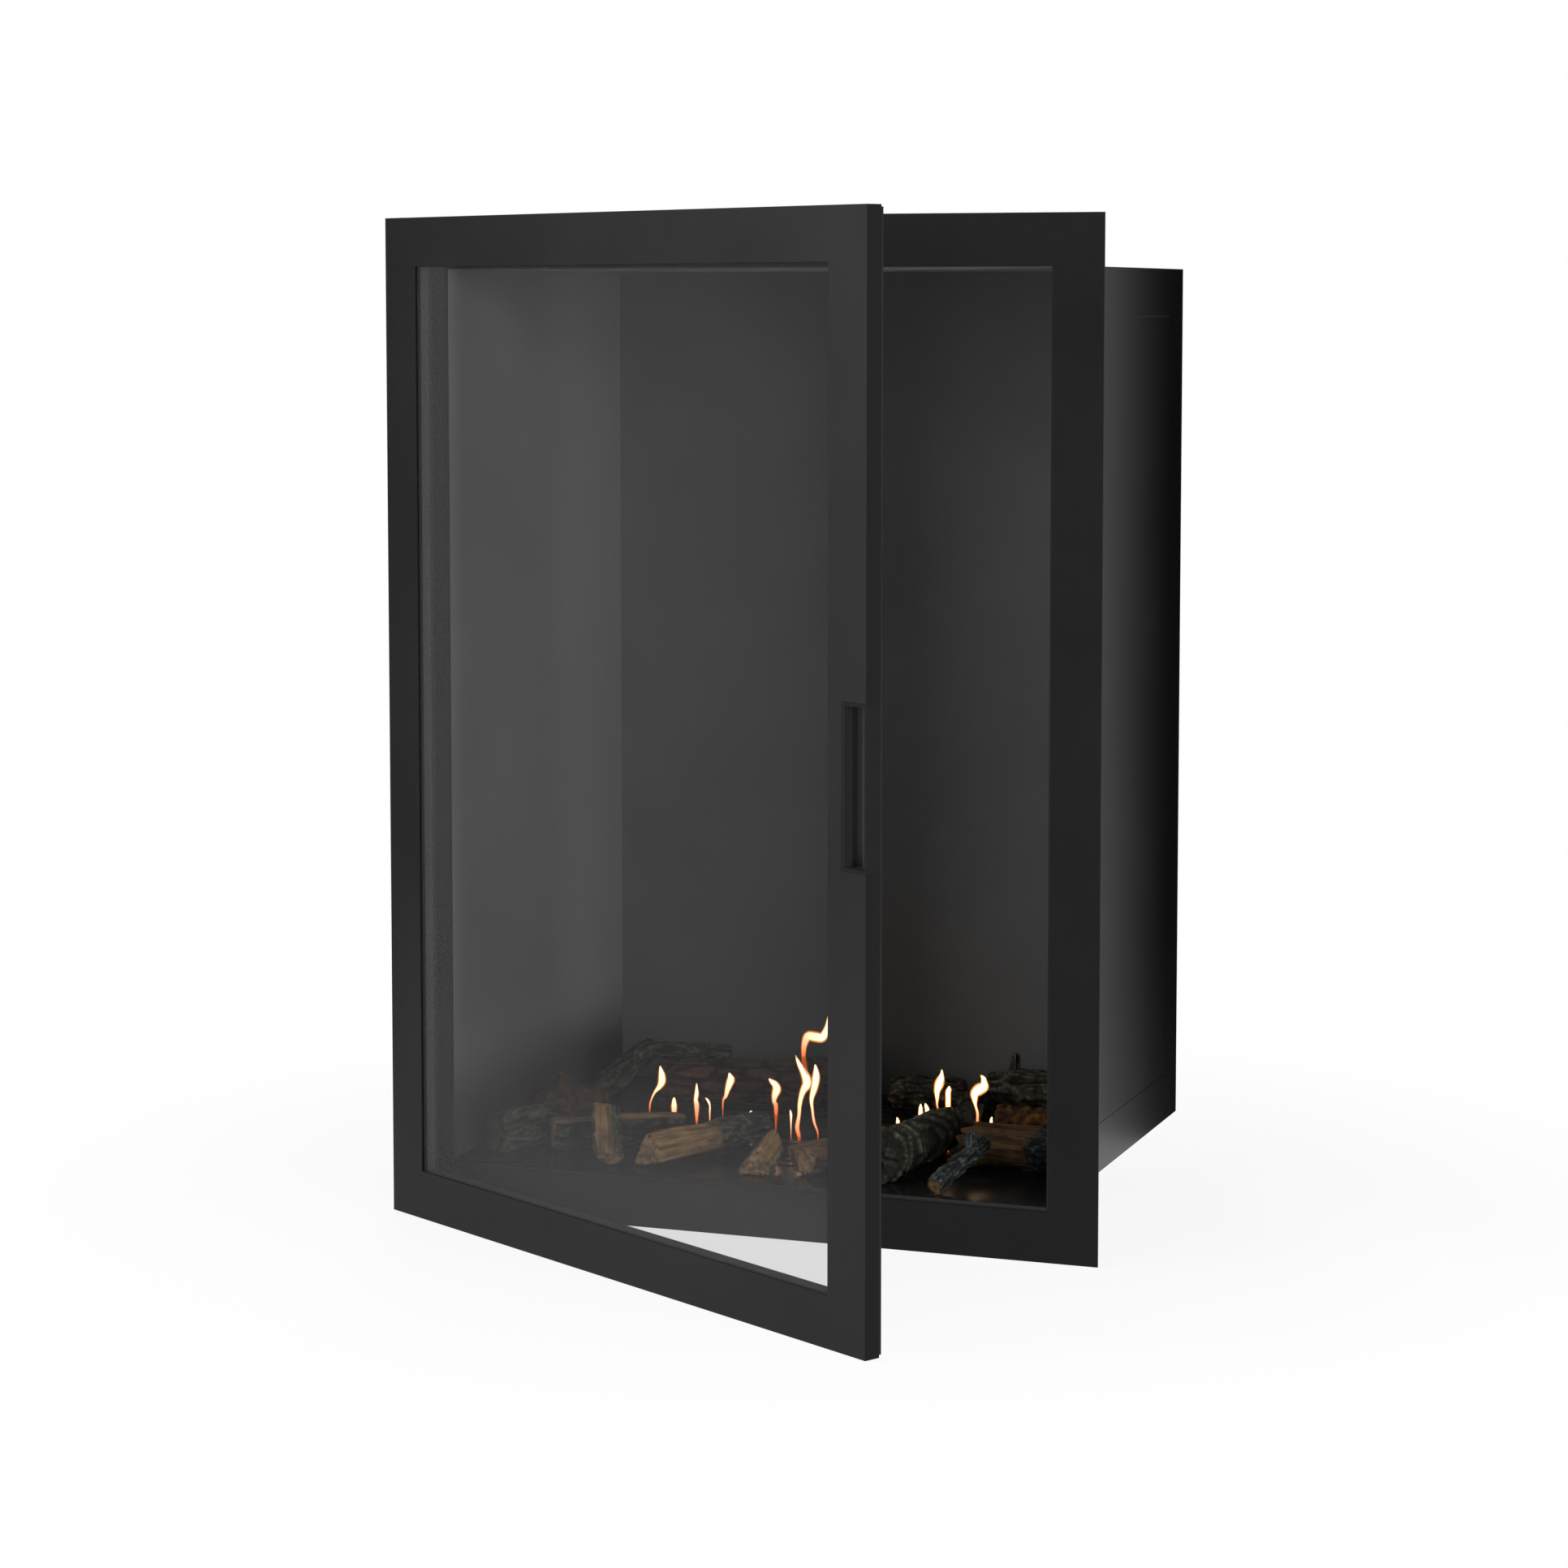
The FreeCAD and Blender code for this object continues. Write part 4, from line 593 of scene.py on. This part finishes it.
def tube(mesh, layers, outline, edges, reach, radius, shrink, bow, place, bark, bark_from, seed, turned,
         torn=0, end_wood=1.0):
    """Adds a closed length of wood along X to the mesh, its sides and ends carved."""
    spun = [Matrix.Rotation(math.radians(turned), 2) @ Vector(p) for p in OUTLINES[outline]]
    ring = even_outline(spun, edges, outline == "round", STEP / radius)
    if ring[0][1].dot(ring[0][0]) < 0:
        ring = [(p, -out, split) for p, out, split in ring]
    count = len(ring)
    rows = max(6, round(reach / STEP))
    # Takes each log's noise from a place of its own
    shift = Vector((seed * 37.0, seed * 11.0, seed * 5.0))

    def vertex(spot, painted, wood, uncarved):
        """A point of the mesh, with the marks that its finish reads."""
        v = mesh.verts.new(place @ (spot * MM))
        v[layers["grain"]] = uncarved * MM + shift * MM
        v[layers["relief"]] = painted
        v[layers["wood"]] = wood
        return v

    def torn_by(p, way):
        """How far an end is torn back at a place across it, in mm."""
        coarse = noise.noise(Vector((p.x * 1.5, p.y * 1.5, seed + 3.7 * way)))
        fine = noise.noise(Vector((p.x * 4.1, p.y * 4.1, seed - 2.3 * way)))
        return torn * (0.5 + 0.8 * coarse + 0.45 * fine)

    def section(share):
        """Radius and sideways bow at a share of the length, in mm."""
        after = max(k for k in range(len(SWELLS) - 1) if share >= SWELLS[k][0])
        (s0, w0), (s1, w1) = SWELLS[after], SWELLS[after + 1]
        swell = w0 + (w1 - w0) * ((share - s0) / (s1 - s0))
        return radius * swell * (1 + (shrink - 1) * share), bow * math.sin(math.pi * share)

    grid = []
    for row in range(rows + 1):
        share = row / rows
        scale, aside = section(share)
        way = -1 if share < 0.5 else 1
        near_end = min(share, 1 - share) * reach
        line = []
        for p, out, split in ring:
            base = Vector((reach * share, p.x * scale + aside, p.y * scale))
            spot = base + shift
            covered = blend_over(share + 0.1 * noise.noise(spot / 14), bark_from - 0.04, bark_from + 0.04)
            wood = split * (1 - covered)
            high_bark, paint_bark = bark_relief(bark, spot)
            high_wood, paint_wood = wood_relief(spot)
            high = high_bark + (high_wood - high_bark) * wood
            painted = paint_bark + (paint_wood - paint_bark) * wood
            base.x -= way * torn_by(p, way) * (1 - blend_over(near_end, 0, 2.4 * torn + 1))
            high -= RIM_DROP * (1 - blend_over(near_end, 0, RIM))
            line.append(vertex(base + Vector((0, out.x, out.y)) * high, painted, wood, base))
        grid.append(line)
    for lower, upper in zip(grid, grid[1:]):
        for i in range(count):
            mesh.faces.new((lower[i], lower[(i + 1) % count], upper[(i + 1) % count], upper[i]))
    for share, rim, way in ((0.0, grid[0], -1), (1.0, grid[-1], 1)):
        scale, aside = section(share)
        last = rim
        for inset in END_RINGS:
            line = []
            for p, out, split in ring:
                base = Vector((reach * share, p.x * scale * inset + aside, p.y * scale * inset))
                rough = 2.2 * noise.noise((base + shift) / 6.5) + 0.5 * math.sin(inset * scale * 2.2) - 0.6
                rough = min(0.8, rough) - torn_by(p * inset, way)
                painted = 0.45 + 0.9 * noise.noise((base + shift) / 5) + 0.02 * rough
                line.append(vertex(base + Vector((way * rough, 0, 0)), painted, end_wood, base))
            for i in range(count):
                corners = (last[(i + 1) % count], last[i], line[i], line[(i + 1) % count])
                mesh.faces.new(corners if way < 0 else corners[::-1])
            last = line
        end = Vector((reach * share, 0, 0))
        sunk = Vector((reach * share - way * torn_by(Vector((0, 0)), way), aside, 0))
        middle = vertex(sunk, 0.4, end_wood, end)
        for i in range(count):
            corners = (last[(i + 1) % count], last[i], middle)
            mesh.faces.new(corners if way < 0 else corners[::-1])


def new_object(name, mesh, material, smooth=True):
    """An object in the scene from a mesh that is done."""
    data = bpy.data.meshes.new(name)
    mesh.to_mesh(data)
    mesh.free()
    data.polygons.foreach_set("use_smooth", [smooth] * len(data.polygons))
    data.materials.append(material)
    made = bpy.data.objects.new(name, data)
    scene.collection.objects.link(made)
    return made


def cast_piece(name, seed):
    """One ceramic log where its solid lies, with knobs and arm."""
    outline, near, far, radius, shrink, roll, rise, bow, paint, bark, bark_from = LOGS[name]
    heading = math.atan2(far[1] - near[1], far[0] - near[0])
    tilt = math.radians(rise)
    reach = math.dist(near, far) / math.cos(tilt)
    turn = Matrix.Rotation(heading, 4, "Z") @ Matrix.Rotation(-tilt, 4, "Y")
    mesh = bmesh.new()
    layers = {
        "grain": mesh.verts.layers.float_vector.new("grain"), "relief": mesh.verts.layers.float.new("relief"),
        "wood": mesh.verts.layers.float.new("wood"),
    }
    edges = OTHER_EDGES.get(name, SPLIT_EDGES[outline])
    tube(mesh, layers, outline, edges, reach, radius, shrink, bow, turn, bark, bark_from, seed, roll,
         TORN.get(name, 0), float(name not in BARK_ENDS))
    if name in ARMS:
        long, thick = ARMS[name]
        root = turn @ Matrix.Translation(Vector((reach - radius * ARM_ROOT, 0, 0)) * MM)
        level = root @ Matrix.Rotation(tilt, 4, "Y")
        tube(mesh, layers, "round", (), long, thick, shrink=0.9, bow=2, place=level, bark=bark,
             bark_from=NOWHERE, seed=seed + ARM_SEED, turned=25)
    if name in KNOBS:
        share, tall, thick, lean = KNOBS[name]
        up = Vector((lean, 0, 1)).normalized()
        root = turn @ Matrix.Translation(Vector((reach * share, 0, 0)) * MM)
        stand = root @ Vector((1, 0, 0)).rotation_difference(up).to_matrix().to_4x4()
        tube(mesh, layers, "round", (), tall, thick * KNOB_FOOT, shrink=0.7, bow=0.6, place=stand, bark=bark,
             bark_from=NOWHERE, seed=seed + KNOB_SEED, turned=0)
    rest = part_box(name)[0].z
    centre = Vector((near[0], WALL + near[1], 0)) * MM
    drop = rest - min(v.co.z for v in mesh.verts) - BEDDED * MM
    for v in mesh.verts:
        v.co += centre + Vector((0, 0, drop))
        v.co.z = max(v.co.z, rest)
    piece = new_object(name + "_cast", mesh, LOG_FINISHES[paint])
    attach(piece, "hearth")
    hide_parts(name)


for seed, name in enumerate(LOGS):
    cast_piece(name, seed)


# Flames over the burner slot

# The middle of the slot as Y, and the top of the wool as Z, in mm
BURNER_LINE = -40
WOOL_TOP = 39
# Each flame's path as (across, height, half width) in mm
FLAMES = [
    [(-185, 76, 1), (-183, 84, 1), (-179, 92, 1.5), (-174, 98, 3), (-171, 104, 4.5), (-171, 111, 4),
     (-172, 116, 2.5), (-173, 121, 0.5)],
    [(-157, 76, 3.5), (-157, 81, 3), (-157, 85, 2), (-157, 88, 0.5)],
    [(-131, 80, 3), (-132, 87, 2.5), (-131, 94, 2.5), (-131, 100, 1.5), (-131, 105, 0.5)],
    [(-116, 76, 1), (-116, 82, 1), (-118, 87, 1.5), (-121, 90, 0.5)],
    [(-101, 87, 1), (-98, 93, 2), (-96, 100, 3), (-94, 106, 4), (-92, 112, 4.5), (-93, 116, 2.5),
     (-94, 119, 0.5)],
    [(-41, 86, 2.5), (-43, 92, 2.5), (-42, 99, 4), (-40, 105, 5), (-42, 110, 4), (-46, 113, 2.5),
     (-49, 116, 0.5)],
    [(-15, 56, 2), (-17, 66, 2.5), (-15, 79, 2), (-14, 92, 2.5), (-11, 104, 3.5), (-6, 114, 5.5),
     (-9, 124, 4.5), (-15, 134, 2.5), (-19, 143, 0.5)],
    [(6, 62, 1), (2, 73, 1.5), (0, 86, 1.5), (-1, 97, 2.5), (2, 109, 4), (4, 120, 4.5), (4, 128, 3),
     (3, 135, 0.5)],
    [(-6, 114, 3), (-9, 134, 2.5), (-10, 144, 2.5), (-9, 155, 3.5), (-5, 164, 5), (3, 164, 5.5), (11, 164, 5),
     (16, 173, 3.5), (18, 182, 2.5), (18, 190, 0.5)],
    [(-69, 72, 1.5), (-69, 77, 2.5), (-69, 80, 0.5)],
    [(-24, 72, 1), (-24, 79, 1.5), (-25, 84, 0.5)],
    [(139, 94, 1), (138, 101, 1), (138, 108, 2), (138, 116, 3.5), (140, 123, 5), (142, 129, 4), (143, 134, 2),
     (143, 139, 0.5)],
    [(151, 93, 2.5), (150, 101, 3), (150, 109, 3), (150, 115, 3), (151, 119, 2.5), (151, 122, 0.5)],
    [(119, 81, 2.5), (120, 86, 3), (120, 93, 2.5), (120, 97, 2), (120, 101, 0.5)],
    [(129, 85, 2.5), (128, 90, 3), (127, 96, 2.5), (126, 99, 2), (125, 102, 0.5)],
    [(95, 78, 2), (95, 81, 2), (94, 85, 0.5)],
    [(182, 82, 1.5), (182, 88, 1.5), (182, 96, 1.5), (180, 103, 1.5), (179, 109, 3), (179, 116, 5),
     (184, 121, 6), (189, 124, 5), (189, 129, 3.5), (188, 133, 2.5), (185, 136, 0.5)],
    [(196, 81, 2.5), (197, 85, 2), (197, 90, 1.5), (198, 93, 0.5)],
]
# A path that starts higher than this, in mm, leaves from another flame
LOWEST_BRANCH = 100
# The others get a thin stem: half width of its foot in mm, how far in the foot stands, and
# the stem's width against the path's
STEM_FOOT = 0.5
STEM_LEAN = 0.99
STEM_WIDTH = 0.3
# Points round a flame, how thick it is against its width, and its least half width in mm
FLAME_SIDES = 12
FLATNESS = 0.6
THINNEST = 0.15


def flame_sheet(name, material, girth, first, last):
    """Closed tongues of flame round each path between two shares of it, flatter front to back than across."""
    mesh = bmesh.new()
    heat = mesh.verts.layers.float.new("rise")
    for path in FLAMES:
        across, high, half = path[0]
        line = [Vector(p) for p in path]
        if high < LOWEST_BRANCH:
            foot = Vector((across * STEM_LEAN, WOOL_TOP, STEM_FOOT))
            stem = Vector((across, (WOOL_TOP + high) / 2, STEM_WIDTH * half))
            line = [foot, stem] + line
        smooth = []
        for i in range(len(line) - 1):
            a, b, c, d = (line[min(max(i + k, 0), len(line) - 1)] for k in (-1, 0, 1, 2))
            smooth += [between(a, b, c, d, t) for t in (0, 0.2, 0.4, 0.6, 0.8)]
        smooth.append(line[-1])
        smooth = smooth[int(first * len(smooth)):int(last * len(smooth))]
        rings = []
        for i, p in enumerate(smooth):
            run = smooth[min(i + 1, len(smooth) - 1)] - smooth[max(i - 1, 0)]
            side = Vector((-run.y, run.x)).normalized()
            width = max(THINNEST, p.z * girth)
            ring = []
            for k in range(FLAME_SIDES):
                angle = math.tau * k / FLAME_SIDES
                out = side * (width * math.cos(angle))
                depth = BURNER_LINE + FLATNESS * width * math.sin(angle)
                v = mesh.verts.new(Vector((p.x + out.x, depth, p.y + out.y)) * MM)
                v[heat] = i / (len(smooth) - 1)
                ring.append(v)
            rings.append(ring)
        for lower, upper in zip(rings, rings[1:]):
            for k in range(FLAME_SIDES):
                j = (k + 1) % FLAME_SIDES
                mesh.faces.new((lower[k], lower[j], upper[j], upper[k]))
        mesh.faces.new(rings[0])
        mesh.faces.new(rings[-1])
    bmesh.ops.recalc_face_normals(mesh, faces=mesh.faces)
    piece = new_object(name, mesh, material)
    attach(piece, "hearth")
    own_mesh(piece)


flame_sheet("flame_rims", flame_rim, girth=1.05, first=0, last=1)
flame_sheet("flame_hearts", flame_heart, girth=0.74, first=0.2, last=0.98)


# Floor, light and camera, in metres

# Between these distances from the middle the floor's shadow fades, as the share of plain white grows
SHADOW_REACH = (0.4, 0.95)
SHADOW_WHITE = (0.9, 1.0)
# Half the floor's width, and how far it lies under the object
FLOOR_HALF = 30
FLOOR_DROP = 0.0005


def seen_directly(tree):
    """One for what the camera, gloss and glass see, nought for other light."""
    rays = ("Is Camera Ray", "Is Glossy Ray", "Is Transmission Ray")
    camera_ray, gloss_ray, glass_ray = (add(tree, "ShaderNodeLightPath", ray) for ray in rays)
    either = add(tree, "ShaderNodeMath", "Value", {0: camera_ray, 1: gloss_ray}, operation="MAXIMUM")
    return add(tree, "ShaderNodeMath", "Value", {0: either, 1: glass_ray}, operation="MAXIMUM")


def studio_white(name, shade):
    """White for what camera, glass and gloss see, with the object's shadow; matt paint for other light."""
    material, tree, shader = surface(name, {
        "Base Color": linear(shade), "Roughness": 0.9, "Specular IOR Level": 0.0})
    spot = add(tree, "ShaderNodeTexCoord", "Object")
    away = add(tree, "ShaderNodeVectorMath", "Value", {0: spot}, operation="LENGTH")
    plain = add(tree, "ShaderNodeMapRange", "Result", {
        "Value": away, "From Min": SHADOW_REACH[0], "From Max": SHADOW_REACH[1],
        "To Min": SHADOW_WHITE[0], "To Max": SHADOW_WHITE[1]})
    share = add(tree, "ShaderNodeMath", "Value", {0: seen_directly(tree), 1: plain}, operation="MULTIPLY")
    white = add(tree, "ShaderNodeEmission", "Emission", {"Strength": 1.0})
    both = add(tree, "ShaderNodeMixShader", "Shader", {0: share, 1: shader.outputs["BSDF"], 2: white})
    feed(tree, tree.nodes["Material Output"], {"Surface": both})
    return material


floor_mesh = bmesh.new()
bmesh.ops.create_grid(floor_mesh, x_segments=4, y_segments=4, size=FLOOR_HALF)
matt_white = studio_white("studio_floor_matt_white", "#e6e6e6")
floor = new_object("studio_floor", floor_mesh, matt_white, smooth=False)
floor.location = (0, 0, -FLOOR_DROP)

CARD_HEIGHT = 1.5


def black_card(name, start, end, shades_light):
    """A dark card standing between two places, out of the picture, that keeps white out of the gloss."""
    mesh = bmesh.new()
    corners = ((*start, 0), (*end, 0), (*end, CARD_HEIGHT), (*start, CARD_HEIGHT))
    mesh.faces.new([mesh.verts.new(corner) for corner in corners])
    card = new_object(name, mesh, powder_coat, smooth=False)
    card.visible_camera = False
    card.visible_shadow = shades_light


black_card("card_behind_right", (0.3, 0.2535), (0.46, 0.36), shades_light=False)
black_card("card_beside_right", (0.85, -0.22), (0.85, 0.8), shades_light=True)
black_card("card_left", (-1.5, -1.16), (-1.5, 0.6), shades_light=True)

# Strength of the surroundings as light on the object, and as the white that is seen
SKY_LIGHT = 0.27
SKY_SEEN = 1.0
world = bpy.data.worlds.new("studio")
world.use_nodes = True
scene.world = world
sky = world.node_tree
level = add(sky, "ShaderNodeMapRange", "Result", {
    "Value": seen_directly(sky), "To Min": SKY_LIGHT, "To Max": SKY_SEEN})
feed(sky, sky.nodes["Background"], {"Color": linear("#ffffff"), "Strength": level})

SOFT_BOX = (1.4, 1.6)


def soft_box(name, place, aim, power):
    """A large soft lamp at a place, turned to what it lights, with its power in watts."""
    lamp = bpy.data.lights.new(name, "AREA")
    lamp.shape = "RECTANGLE"
    lamp.size, lamp.size_y = SOFT_BOX
    lamp.energy = power
    holder = bpy.data.objects.new(name, lamp)
    holder.location = place
    holder.rotation_euler = (Vector(aim) - Vector(place)).to_track_quat("-Z", "Y").to_euler()
    scene.collection.objects.link(holder)


soft_box("right_soft_box", (2.6, -2.2, 0.95), (0, 0, 0.5), 78)
soft_box("left_soft_box", (-2.85, -2.65, 1.3), (0, -0.3, 0.5), 128)
soft_box("rear_soft_box", (-1.6, 3.0, 1.8), (0, 0.2, 0.5), 80)

lens = bpy.data.cameras.new("photo_camera")
lens.sensor_width = 36
lens.lens = 87.517
lens.shift_y = -0.1
lens.clip_start, lens.clip_end = 0.05, 100
camera = bpy.data.objects.new("photo_camera", lens)
camera.location = (1.33395, -3.77185, 0.93331)
yaw, pitch = math.radians(20.102), math.radians(4.855)
sight = Vector((-math.sin(yaw) * math.cos(pitch), math.cos(yaw) * math.cos(pitch), -math.sin(pitch)))
camera.rotation_euler = sight.to_track_quat("-Z", "Y").to_euler()
scene.collection.objects.link(camera)
scene.camera = camera
scene.view_settings.view_transform = "Standard"
